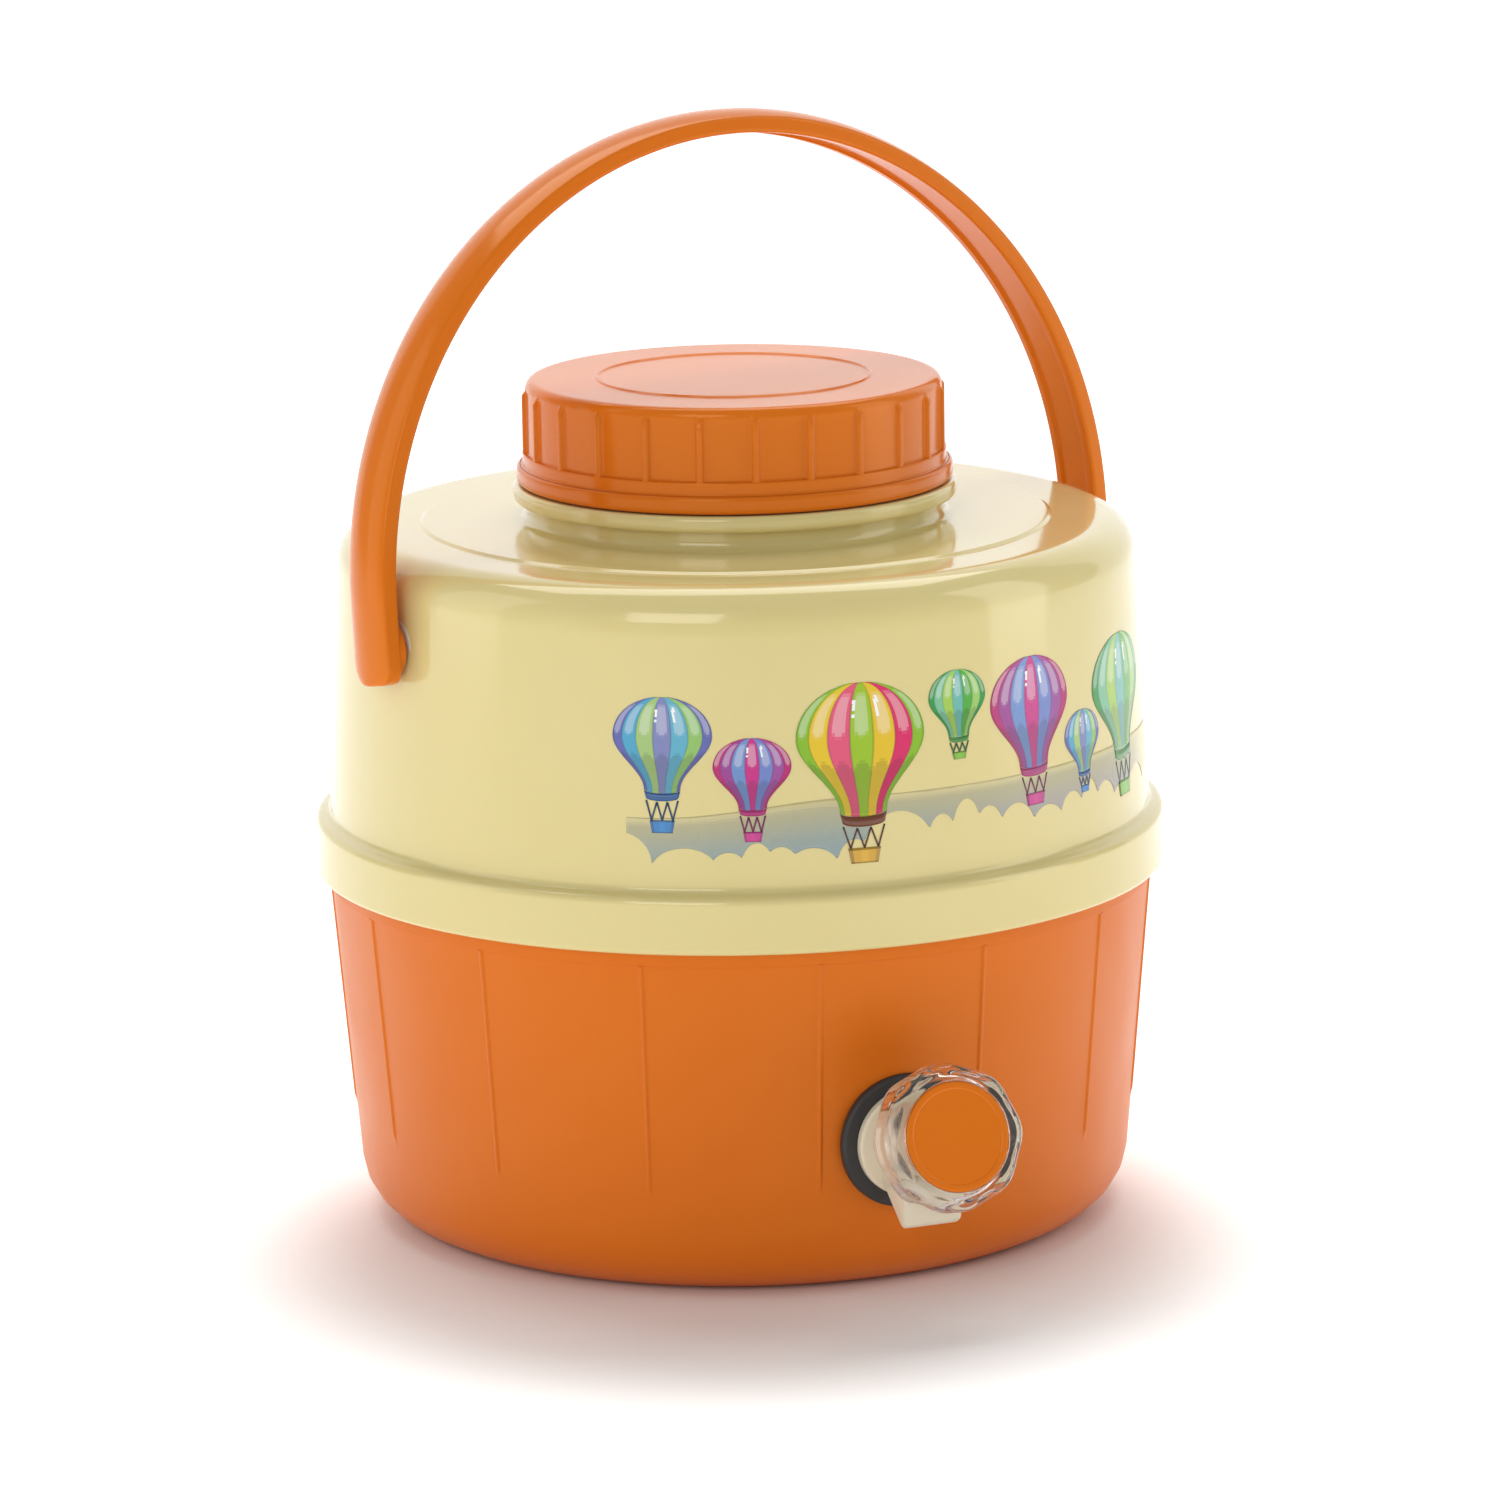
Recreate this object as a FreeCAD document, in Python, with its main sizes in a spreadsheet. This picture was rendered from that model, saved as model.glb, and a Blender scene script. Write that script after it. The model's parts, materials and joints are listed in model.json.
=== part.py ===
import FreeCAD, Part
import math
import os
import re

import Sketcher
from FreeCAD import Placement, Rotation, Vector

# Insulated beverage dispenser: a double-walled jug with a push of foam between its
# walls, a screw lid, a swinging bail handle and a quarter-turn tap near the floor.
#
# Row frame, millimetres: +Z up, origin at the centre of the base on the floor, the
# bail pivots on the X axis, the tap on the -Y side, turned a little towards -X.
# Round pieces are modelled about Z. Pieces that belong to the tap are modelled in
# the tap frame (+X outward, +Z up) and those of its valve in the valve frame
# (+Z outward along the barrel), then placed.

# ---------------------------------------------------------------- driving sizes
SIZES = {
    # overall
    "belt_radius": 107.0,
    "belt_bottom": 88.15,
    "upper_height": 72.6,        # from the belt's top to the deck
    # orange lower shell
    "lower_wall": 2.2,
    "lower_taper": 6.95,
    "floor_round": 15.0,
    "foot_width": 28.1,
    "foot_rise": 2.5,
    "ledge_drop": 3.55,
    "ledge_step": 0.55,
    "panel_ribs": 15,
    "rib_proud": 0.45,
    "rib_width": 1.1,
    "rib_bottom": 27.0,
    "spigot_rise": 10.85,
    "fill_hole": 8.0,
    "plug_head": 1.5,
    "plug_barb": 0.45,
    # cream upper shell
    "belt_wall": 3.4,
    "belt_taper": 0.6,
    "belt_proud": 3.9,
    "belt_height": 14.15,
    "belt_round": 3.0,
    "upper_wall": 2.4,
    "upper_taper": 3.9,
    "shoulder_round": 9.0,
    "deck_step": 0.6,
    "deck_margin": 20.7,
    "neck_rise": 5.5,
    "neck_space": 2.2,
    "snap_bead": 0.6,
    "snap_rise": 5.85,
    "snap_width": 2.0,
    "shell_gap": 0.25,
    "seal_gap": 0.05,
    # inner vessel
    "side_foam": 13.7,
    "top_foam": 6.9,
    "floor_foam": 14.3,
    "vessel_taper": 4.0,
    "vessel_wall": 1.9,
    "vessel_round": 12.0,
    "mouth_radius": 44.6,
    "mouth_wall": 2.8,
    "rim_rise": 19.5,
    "thread_lead": 6.0,
    "thread_depth": 1.5,
    "thread_gap": 0.6,
    "thread_base": 2.4,
    "thread_crest": 1.2,
    "thread_start": 4.5,
    "neck_thread_height": 10.0,
    "cap_thread_height": 9.0,
    # collar and seals at the neck
    "collar_lip": 3.3,
    "collar_height": 4.1,
    "collar_spigot": 4.0,
    "collar_round": 1.2,
    "neck_seal_height": 3.0,
    # lid
    "cap_gap": 0.25,
    "cap_wall": 2.3,
    "cap_flange_lip": 2.6,
    "cap_flange_height": 4.45,
    "cap_band_height": 3.3,
    "cap_deck": 2.2,
    "cap_round": 2.2,
    "cap_ribs": 24,
    "cap_rib_width": 2.4,
    "cap_rib_proud": 1.06,
    "cap_rib_drop": 2.1,
    "cap_turn": 1.7,
    "ring_margin": 17.85,
    "ring_width": 1.1,
    "ring_height": 0.4,
    "liner_flange": 1.8,
    "liner_wall": 1.6,
    "liner_depth": 14.0,
    "liner_gap": 0.8,
    "gasket_height": 2.4,
    # bail handle
    "bail_space": 1.9,
    "bail_rise": 11.0,
    "bail_width": 16.0,
    "bail_edge": 4.0,
    "bail_crown": 2.0,
    "bail_channel": 0.8,
    "bail_rim": 2.6,
    "bail_tail": 8.5,
    "bail_end_round": 6.0,
    "bail_lean": 4.5,
    "bail_side_play": 2.0,
    "pivot_rise": 51.7,
    "hub_lip": 0.4,
    "hub_gap": 0.4,
    "pin_radius": 4.0,
    "pin_clearance": 0.05,
    "bush_wall": 3.15,
    "bush_lip": 3.3,
    "bush_flange_width": 1.6,
    "bush_seat": 1.12,           # the flange stands this far off the curved, tapered wall
    "cup_gap": 0.1,
    "cup_wall": 1.2,
    "cup_margin": 0.87,
    "push_nut_lip": 3.0,
    "push_nut_width": 0.8,
    # tap body
    "tap_bearing": -101.6,
    "tap_height": 38.8,
    "tap_tilt": 17.3,
    "boss_margin": 1.0,
    "boss_proud": 0.31,
    "seat_depth": 4.8,
    "gasket_radius": 16.5,
    "gasket_width": 2.4,
    "flange_radius": 13.0,
    "flange_width": 2.4,
    "shank_radius": 7.8,
    "shank_clearance": 0.15,
    "shank_show": 0.5,
    "waterway_radius": 4.2,
    "barrel_wall": 2.7,
    "barrel_length": 16.9,
    "spout_width": 15.0,
    "spout_lip": 0.8,
    "spout_chin": 2.6,
    "spout_depth": 8.4,
    "outlet_radius": 3.2,
    "outlet_reach": 7.2,
    "locknut_lip": 4.2,
    "locknut_width": 6.0,
    "inner_washer_lip": 4.7,
    "inner_washer_width": 1.8,
    "vessel_boss_margin": 2.0,
    "vessel_boss_proud": 1.97,
    "vessel_seat_depth": 5.3,
    "seat_margin": 0.8,
    "sleeve_wall": 1.6,
    # valve and knob
    "plug_radius": 6.5,
    "plug_clearance": 0.05,
    "plug_back": 2.0,
    "plug_recess": 1.3,
    "port_radius": 3.0,
    "feed_wall": 2.7,
    "feed_past": 0.8,
    "o_ring_section": 0.65,
    "o_ring_inset": 1.8,
    "o_ring_pitch": 2.4,
    "stem_radius": 4.0,
    "knob_gap": 0.6,
    "knob_depth": 11.4,
    "knob_radius": 17.8,
    "knob_round": 3.2,
    "knob_wall": 3.0,
    "knob_lip": 1.6,
    "knob_rim": 4.6,
    "hub_wall": 2.2,
    "knob_flutes": 8,
    "flute_depth": 0.9,
    "flute_radius": 30.0,
    "insert_width": 2.4,
    "screw_radius": 1.5,
    "screw_head_lip": 1.5,
    "screw_head_width": 1.8,
    "screw_length": 12.0,
    "screw_seat": 1.0,
    "screw_sink": 0.25,
    # general
    "foam_gap": 0.3,
}

# sizes that follow from the ones above, so that pieces keep meeting when one changes
FOLLOWS = {
    "ledge_radius": "belt_radius - belt_wall",
    "lower_wall_top": "ledge_radius - ledge_step",
    "floor_radius": "lower_wall_top - lower_taper",
    "foot_inner": "floor_radius - foot_width",
    "ledge_bottom": "belt_bottom - ledge_drop",
    "snap_height": "belt_bottom + snap_rise",
    "spigot_top": "belt_bottom + spigot_rise",
    "belt_top": "belt_bottom + belt_height",
    "belt_top_radius": "belt_radius - belt_taper",
    "upper_foot_radius": "belt_radius - belt_proud",
    "upper_top_radius": "upper_foot_radius - upper_taper",
    "deck_height": "belt_top + upper_height",
    "deck_step_radius": "upper_top_radius - deck_margin",
    "neck_radius": "mouth_radius + mouth_wall + neck_space + upper_wall",
    "neck_top": "deck_height + neck_rise",
    "vessel_top_radius": "upper_top_radius - side_foam",
    "vessel_foot_radius": "vessel_top_radius - vessel_taper",
    "vessel_bottom": "foot_rise + lower_wall + floor_foam",
    "vessel_shoulder": "deck_height - top_foam",
    "collar_radius": "neck_radius + collar_lip",
    "collar_top": "neck_top + collar_height",
    "rim_height": "collar_top + rim_rise",
    "neck_thread_bottom": "collar_top + thread_start",
    "cap_radius": "mouth_radius + mouth_wall + thread_depth + thread_gap + cap_wall",
    "cap_bottom": "collar_top + cap_gap",
    "cap_flange_radius": "cap_radius + cap_flange_lip",
    "cap_flange_top": "cap_bottom + cap_flange_height",
    "cap_band_top": "cap_flange_top + cap_band_height",
    "cap_top": "rim_height + gasket_height + liner_flange + cap_deck",
    "cap_rib_top": "cap_top - cap_rib_drop",
    "ring_radius": "cap_radius - ring_margin",
    "bail_radius": "upper_foot_radius + bail_space + bail_edge + bail_crown",
    "pivot_height": "belt_top + pivot_rise",
    "bail_centre": "pivot_height + bail_rise",
    "bail_end": "pivot_height - bail_tail",
    "pivot_slope": "upper_taper / upper_height",
    "pivot_wall": "upper_foot_radius - pivot_slope * pivot_rise",
    "bush_radius": "pin_radius + pin_clearance + bush_wall",
    "bush_flange": "bush_radius + bush_lip",
    "bush_face": "pivot_wall - upper_wall - bush_seat",
    "hub_radius": "bush_radius + hub_lip",
    "hub_face": "pivot_wall + pivot_slope * hub_radius + hub_gap + bail_side_play",
    "nut_face": "bush_face - bush_flange_width - hub_gap - bail_side_play",
    "push_nut_radius": "pin_radius + push_nut_lip",
    "cup_rim": "bush_face - bush_flange_width / 3",
    "cup_back": "vessel_top_radius + cup_margin",
    "boss_radius": "gasket_radius + boss_margin",
    "boss_face": "floor_radius + lower_taper * tap_height / ledge_bottom + boss_proud",
    "flange_face": "boss_face + gasket_width + flange_width",
    "vessel_boss_face": "vessel_foot_radius + vessel_taper * (tap_height - vessel_bottom)"
                        " / (vessel_shoulder - vessel_bottom) + vessel_boss_proud",
    "inner_washer_radius": "shank_radius + inner_washer_lip",
    "vessel_boss_radius": "inner_washer_radius + vessel_boss_margin",
    "vessel_seat": "vessel_boss_face - vessel_seat_depth",
    "locknut_radius": "shank_radius + locknut_lip",
    "shank_end": "vessel_seat - inner_washer_width - locknut_width - shank_show",
    "barrel_radius": "plug_radius + barrel_wall",
    "spout_reach": "outlet_reach + outlet_radius + spout_lip",
    "spout_front": "spout_reach + spout_chin",
    "spout_drop": "barrel_radius + spout_depth",
    "spout_heel": "barrel_radius + spout_lip",
    "port_place": "(outlet_reach - plug_radius * sin(tap_tilt * 1 deg)) / cos(tap_tilt * 1 deg)",
    "feed_radius": "plug_radius - feed_wall",
    "plug_front": "barrel_length - plug_recess",
    "o_ring_front": "plug_front - o_ring_inset",
    "o_ring_rear": "o_ring_front - o_ring_pitch",
    "knob_back": "barrel_length + knob_gap",
    "knob_front": "knob_back + knob_depth",
    "insert_radius": "knob_radius - knob_rim",
    "insert_floor": "knob_front - insert_width",
    "screw_top": "insert_floor - screw_sink",
    "screw_shoulder": "screw_top - screw_head_width",
    "screw_head_radius": "screw_radius + screw_head_lip",
    "stem_end": "screw_shoulder - screw_seat - plug_clearance",
}

doc = FreeCAD.newDocument("BeverageDispenser")
sheet = doc.addObject("Spreadsheet::Sheet", "Sizes")
for row, (alias, size) in enumerate(SIZES.items(), start=1):
    sheet.set("A%d" % row, str(size))
    sheet.setAlias("A%d" % row, alias)
for row, (alias, rule) in enumerate(FOLLOWS.items(), start=1):
    sheet.setAlias("B%d" % row, alias)
    sheet.set("B%d" % row, "=" + rule)
doc.recompute()


NAMES = set(SIZES) | set(FOLLOWS)


# ---------------------------------------------------------------- small helpers
def linked(text):
    """Turn sheet aliases in an expression into references to the sheet."""
    return re.sub(r"[a-z_]+", lambda word: "Sizes." + word[0] if word[0] in NAMES else word[0], text)


def value(text):
    """The number that an expression of sheet aliases stands for now."""
    result = sheet.evalExpression(linked(text))
    return float(getattr(result, "Value", result))


def bind(thing, prop, text):
    """Tie one property of a feature to the sheet."""
    thing.setExpression(prop, linked(text))


def new_body(name):
    body = doc.addObject("PartDesign::Body", name)
    body.Label = name
    return body


def origin_item(body, role):
    return [item for item in body.Origin.OriginFeatures if item.Role == role][0]


def new_sketch(body, name, role, height=None, spin=None):
    """A sketch on one of the body's own origin planes, lifted off it or turned in it."""
    sketch = body.newObject("Sketcher::SketchObject", name)
    sketch.AttachmentSupport = [(origin_item(body, role), "")]
    sketch.MapMode = "FlatFace"
    if spin is not None:
        sketch.AttachmentOffset = Placement(Vector(), Rotation(Vector(0, 1, 0), value(spin)))
    if height is not None:
        sketch.AttachmentOffset = Placement(Vector(0, 0, value(height)), Rotation())
        bind(sketch, ".AttachmentOffset.Base.z", height)
    return sketch


def hold_point(sketch, geo, end, x_text, y_text):
    """Fix a point of the sketch at sheet-driven coordinates."""
    for text, axis, kind in ((x_text, -2, "DistanceX"), (y_text, -1, "DistanceY")):
        if text == "0":
            sketch.addConstraint(Sketcher.Constraint("PointOnObject", geo, end, axis))
        else:
            index = sketch.addConstraint(Sketcher.Constraint(kind, -1, 1, geo, end, value(text)))
            bind(sketch, "Constraints[%d]" % index, text)


def add_loop(sketch, points):
    """A closed outline of straight lines through points given as pairs of expressions."""
    places = [Vector(value(x), value(y), 0) for x, y in points]
    first = sketch.GeometryCount
    count = len(points)
    for i in range(count):
        sketch.addGeometry(Part.LineSegment(places[i], places[(i + 1) % count]), False)
    for i in range(count):
        after = first + (i + 1) % count
        sketch.addConstraint(Sketcher.Constraint("Coincident", first + i, 2, after, 1))
    for i, (x, y) in enumerate(points):
        hold_point(sketch, first + i, 1, x, y)


def add_circle(sketch, x, y, radius):
    """A circle of the sketch, its centre and radius held by the sheet."""
    centre = Vector(value(x), value(y), 0)
    geo = sketch.addGeometry(Part.Circle(centre, Vector(0, 0, 1), value(radius)), False)
    index = sketch.addConstraint(Sketcher.Constraint("Radius", geo, value(radius)))
    bind(sketch, "Constraints[%d]" % index, radius)
    hold_point(sketch, geo, 3, x, y)


def revolve(body, points, name="profile", cut=False):
    """Turn an outline of (radius, height) points about the body's Z axis."""
    sketch = new_sketch(body, body.Name + "_" + name, "XZ_Plane")
    add_loop(sketch, points)
    kind = "PartDesign::Groove" if cut else "PartDesign::Revolution"
    feature = body.newObject(kind, body.Name + "_" + name + "_turn")
    feature.Profile = sketch
    feature.ReferenceAxis = (sketch, ["V_Axis"])
    feature.Angle = 360
    doc.recompute()
    return feature


def pad(body, sketch, length, both=False, back=False, cut=False):
    """Push a sketch out (or cut it in) by a sheet-driven length."""
    kind = "PartDesign::Pocket" if cut else "PartDesign::Pad"
    feature = body.newObject(kind, sketch.Name + "_push")
    feature.Profile = sketch
    bind(feature, "Length", length)
    feature.Midplane = both
    feature.Reversed = back
    doc.recompute()
    return feature


def polar(body, feature, count):
    """Repeat a feature evenly about the body's Z axis."""
    pattern = body.newObject("PartDesign::PolarPattern", feature.Name + "_ring")
    pattern.Originals = [feature]
    pattern.Axis = (origin_item(body, "Z_Axis"), [""])
    pattern.Angle = 360
    bind(pattern, "Occurrences", count)
    body.Tip = pattern
    doc.recompute()
    return pattern


def circle_edges(shape, rings):
    """Names of the round edges at the given (radius, height) pairs."""
    names = []
    for i, edge in enumerate(shape.Edges, start=1):
        curve = edge.Curve
        if not isinstance(curve, Part.Circle):
            continue
        for radius, height in rings:
            if abs(curve.Radius - value(radius)) < 0.02 and abs(curve.Center.z - value(height)) < 0.02:
                names.append("Edge%d" % i)
    return names


def soften(body, base, names, radius):
    """Round edges of a feature, found beforehand by their place."""
    feature = body.newObject("PartDesign::Fillet", base.Name + "_soft")
    feature.Base = (base, names)
    bind(feature, "Radius", radius)
    doc.recompute()
    return feature


def helix(body, name, points, height, spin):
    """A helical ridge about Z: its outline as (radius, height) points, and where it starts."""
    sketch = new_sketch(body, name, "XZ_Plane", spin=spin)
    add_loop(sketch, points)
    ridge = body.newObject("PartDesign::AdditiveHelix", name + "_ridge")
    ridge.Profile = sketch
    ridge.ReferenceAxis = (sketch, ["V_Axis"])
    ridge.Mode = 0
    bind(ridge, "Pitch", "thread_lead")
    bind(ridge, "Height", height)
    ridge.Angle = 0
    ridge.LeftHanded = False
    doc.recompute()
    return ridge


def ridge_outline(root, crest, bottom):
    """Trapezium of a thread ridge: root and crest radii, and the height of its middle."""
    return [
        (root, "%s - thread_base / 2" % bottom),
        (crest, "%s - thread_crest / 2" % bottom),
        (crest, "%s + thread_crest / 2" % bottom),
        (root, "%s + thread_base / 2" % bottom),
    ]


TAP_FRAME = Placement(Vector(), Rotation(Vector(0, 0, 1), value("tap_bearing")))
SHANK_FRAME = TAP_FRAME * Placement(Vector(0, 0, value("tap_height")), Rotation(Vector(0, 1, 0), 90))
BARREL = Placement(Vector(value("flange_face"), 0, value("tap_height")),
                   Rotation(Vector(0, 1, 0), 90 - value("tap_tilt")))
VALVE_FRAME = TAP_FRAME * BARREL


# ---------------------------------------------------------------- lower shell
def make_lower_shell():
    body = new_body("lower_shell")
    slope = "(lower_wall_top - floor_radius) / ledge_bottom"
    spigot = "ledge_radius - shell_gap"
    bead = "ledge_radius - shell_gap + snap_bead"
    shell = revolve(body, [
        ("fill_hole", "foot_rise"),
        ("foot_inner", "foot_rise"),
        ("foot_inner + foot_rise", "0"),
        ("floor_radius", "0"),
        ("lower_wall_top", "ledge_bottom"),
        ("ledge_radius", "ledge_bottom"),
        ("ledge_radius", "belt_bottom - shell_gap"),
        (spigot, "belt_bottom - shell_gap"),
        (spigot, "snap_height - snap_width / 2"),
        (bead, "snap_height"),
        (spigot, "snap_height + snap_width / 2"),
        (spigot, "spigot_top"),
        (spigot + " - lower_wall", "spigot_top"),
        ("lower_wall_top - lower_wall", "ledge_bottom"),
        ("floor_radius - lower_wall + %s * (foot_rise + lower_wall)" % slope, "foot_rise + lower_wall"),
        ("fill_hole", "foot_rise + lower_wall"),
    ])
    corner = circle_edges(shell.Shape, [("floor_radius", "0")])
    shell = soften(body, shell, corner, "floor_round")
    inner = circle_edges(shell.Shape, [
        ("floor_radius - lower_wall + %s * (foot_rise + lower_wall)" % slope, "foot_rise + lower_wall"),
    ])
    shell = soften(body, shell, inner, "floor_round - lower_wall")

    wall_low = "floor_radius + %s * rib_bottom" % slope
    rib_sketch = new_sketch(body, "lower_shell_rib", "XZ_Plane", spin="180 / panel_ribs")
    add_loop(rib_sketch, [
        (wall_low + " - lower_wall / 2", "rib_bottom"),
        (wall_low + " + rib_proud", "rib_bottom + 2 * rib_proud"),
        ("lower_wall_top + rib_proud", "ledge_bottom"),
        ("lower_wall_top - lower_wall / 2", "ledge_bottom"),
    ])
    rib = pad(body, rib_sketch, "rib_width", both=True)
    polar(body, rib, "panel_ribs")

    # flat seat for the tap's gasket, and the hole for its shank
    seat = new_sketch(body, "lower_shell_seat", "YZ_Plane", height="boss_face")
    add_circle(seat, "0", "tap_height", "boss_radius")
    pad(body, seat, "seat_depth", back=True)
    spot_face = new_sketch(body, "lower_shell_spot_face", "YZ_Plane", height="boss_face")
    add_circle(spot_face, "0", "tap_height", "boss_radius")
    pad(body, spot_face, "lower_wall * 2", back=True, cut=True)
    hole = new_sketch(body, "lower_shell_hole", "YZ_Plane", height="boss_face")
    add_circle(hole, "0", "tap_height", "shank_radius + shank_clearance")
    pad(body, hole, "lower_wall * 5", cut=True)
    body.Placement = TAP_FRAME
    return body


# ---------------------------------------------------------------- upper shell
def make_upper_shell():
    body = new_body("upper_shell")
    groove = "ledge_radius + snap_bead"
    shell = revolve(body, [
        ("ledge_radius", "belt_bottom"),
        ("belt_radius", "belt_bottom"),
        ("belt_top_radius", "belt_top"),
        ("upper_foot_radius", "belt_top"),
        ("upper_top_radius", "deck_height"),
        ("deck_step_radius", "deck_height"),
        ("deck_step_radius - deck_step", "deck_height + deck_step"),
        ("neck_radius", "deck_height + deck_step"),
        ("neck_radius", "neck_top"),
        ("neck_radius - upper_wall", "neck_top"),
        ("neck_radius - upper_wall", "deck_height - upper_wall"),
        ("upper_top_radius - upper_wall", "deck_height - upper_wall"),
        ("upper_foot_radius - upper_wall", "spigot_top + shell_gap"),
        ("ledge_radius", "spigot_top + shell_gap"),
        ("ledge_radius", "snap_height + snap_width / 2 + shell_gap"),
        (groove, "snap_height"),
        ("ledge_radius", "snap_height - snap_width / 2 - shell_gap"),
    ])
    shell = soften(body, shell, circle_edges(shell.Shape, [("belt_top_radius", "belt_top")]), "belt_round")
    shell = soften(body, shell, circle_edges(shell.Shape, [("upper_top_radius", "deck_height")]), "shoulder_round")
    inner = circle_edges(shell.Shape, [("upper_top_radius - upper_wall", "deck_height - upper_wall")])
    shell = soften(body, shell, inner, "shoulder_round - upper_wall")
    shell = soften(body, shell, circle_edges(shell.Shape, [("neck_radius", "deck_height + deck_step")]), "deck_step * 4")

    hole = new_sketch(body, "upper_shell_pivots", "YZ_Plane")
    add_circle(hole, "0", "pivot_height", "bush_radius + seal_gap")
    pad(body, hole, "belt_radius * 2", both=True, cut=True)
    return body


# ---------------------------------------------------------------- inner vessel
def make_inner_vessel():
    body = new_body("inner_vessel")
    neck = "mouth_radius + mouth_wall"
    vessel = revolve(body, [
        ("0", "vessel_bottom"),
        ("vessel_foot_radius", "vessel_bottom"),
        ("vessel_top_radius", "vessel_shoulder"),
        (neck, "vessel_shoulder"),
        (neck, "rim_height"),
        ("mouth_radius", "rim_height"),
        ("mouth_radius", "vessel_shoulder - vessel_wall"),
        ("vessel_top_radius - vessel_wall", "vessel_shoulder - vessel_wall"),
        ("vessel_foot_radius - vessel_wall", "vessel_bottom + vessel_wall"),
        ("0", "vessel_bottom + vessel_wall"),
    ])
    outer = circle_edges(vessel.Shape, [
        ("vessel_foot_radius", "vessel_bottom"), ("vessel_top_radius", "vessel_shoulder"),
    ])
    vessel = soften(body, vessel, outer, "vessel_round")
    inner = circle_edges(vessel.Shape, [
        ("vessel_foot_radius - vessel_wall", "vessel_bottom + vessel_wall"),
        ("vessel_top_radius - vessel_wall", "vessel_shoulder - vessel_wall"),
    ])
    soften(body, vessel, inner, "vessel_round - vessel_wall")

    # flat seat inside and out where the tap's shank goes through
    seat = new_sketch(body, "vessel_seat", "YZ_Plane", height="vessel_boss_face")
    add_circle(seat, "0", "tap_height", "vessel_boss_radius")
    pad(body, seat, "vessel_seat_depth", back=True)
    spot_face = new_sketch(body, "vessel_spot_face", "YZ_Plane", height="vessel_seat")
    add_circle(spot_face, "0", "tap_height", "inner_washer_radius + seat_margin")
    pad(body, spot_face, "vessel_round", cut=True)
    hole = new_sketch(body, "vessel_hole", "YZ_Plane", height="vessel_boss_face")
    add_circle(hole, "0", "tap_height", "shank_radius + shank_clearance")
    pad(body, hole, "vessel_wall * 6", cut=True)

    outline = ridge_outline(neck + " - thread_gap / 2", neck + " + thread_depth", "neck_thread_bottom")
    helix(body, "vessel_thread", outline, "neck_thread_height", "-tap_bearing")
    body.Placement = TAP_FRAME
    return body


# ---------------------------------------------------------------- neck collar, seals and fill plug
def make_neck_collar():
    body = new_body("neck_collar")
    bore = "mouth_radius + mouth_wall + shell_gap"
    spigot = "neck_radius - upper_wall - shell_gap"
    collar = revolve(body, [
        (bore, "neck_top - collar_spigot"),
        (spigot, "neck_top - collar_spigot"),
        (spigot, "neck_top"),
        ("collar_radius", "neck_top"),
        ("collar_radius", "collar_top"),
        (bore, "collar_top"),
    ])
    edges = circle_edges(collar.Shape, [("collar_radius", "neck_top"), ("collar_radius", "collar_top")])
    soften(body, collar, edges, "collar_round")
    return body


def make_neck_seal():
    body = new_body("neck_seal")
    top = "neck_top - collar_spigot - seal_gap"
    revolve(body, [
        ("mouth_radius + mouth_wall + seal_gap", top + " - neck_seal_height"),
        ("neck_radius - upper_wall - seal_gap", top + " - neck_seal_height"),
        ("neck_radius - upper_wall - seal_gap", top),
        ("mouth_radius + mouth_wall + seal_gap", top),
    ])
    return body


def make_foam_plug():
    body = new_body("foam_plug")
    stem = "fill_hole - seal_gap"
    revolve(body, [
        ("0", "foot_rise - plug_head"),
        ("fill_hole + lower_wall", "foot_rise - plug_head"),
        ("fill_hole + lower_wall", "foot_rise"),
        (stem, "foot_rise"),
        (stem, "foot_rise + lower_wall"),
        (stem + " + plug_barb", "foot_rise + lower_wall + plug_barb"),
        (stem + " - lower_wall / 3", "foot_rise + lower_wall * 2"),
        ("0", "foot_rise + lower_wall * 2"),
    ])
    return body


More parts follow.
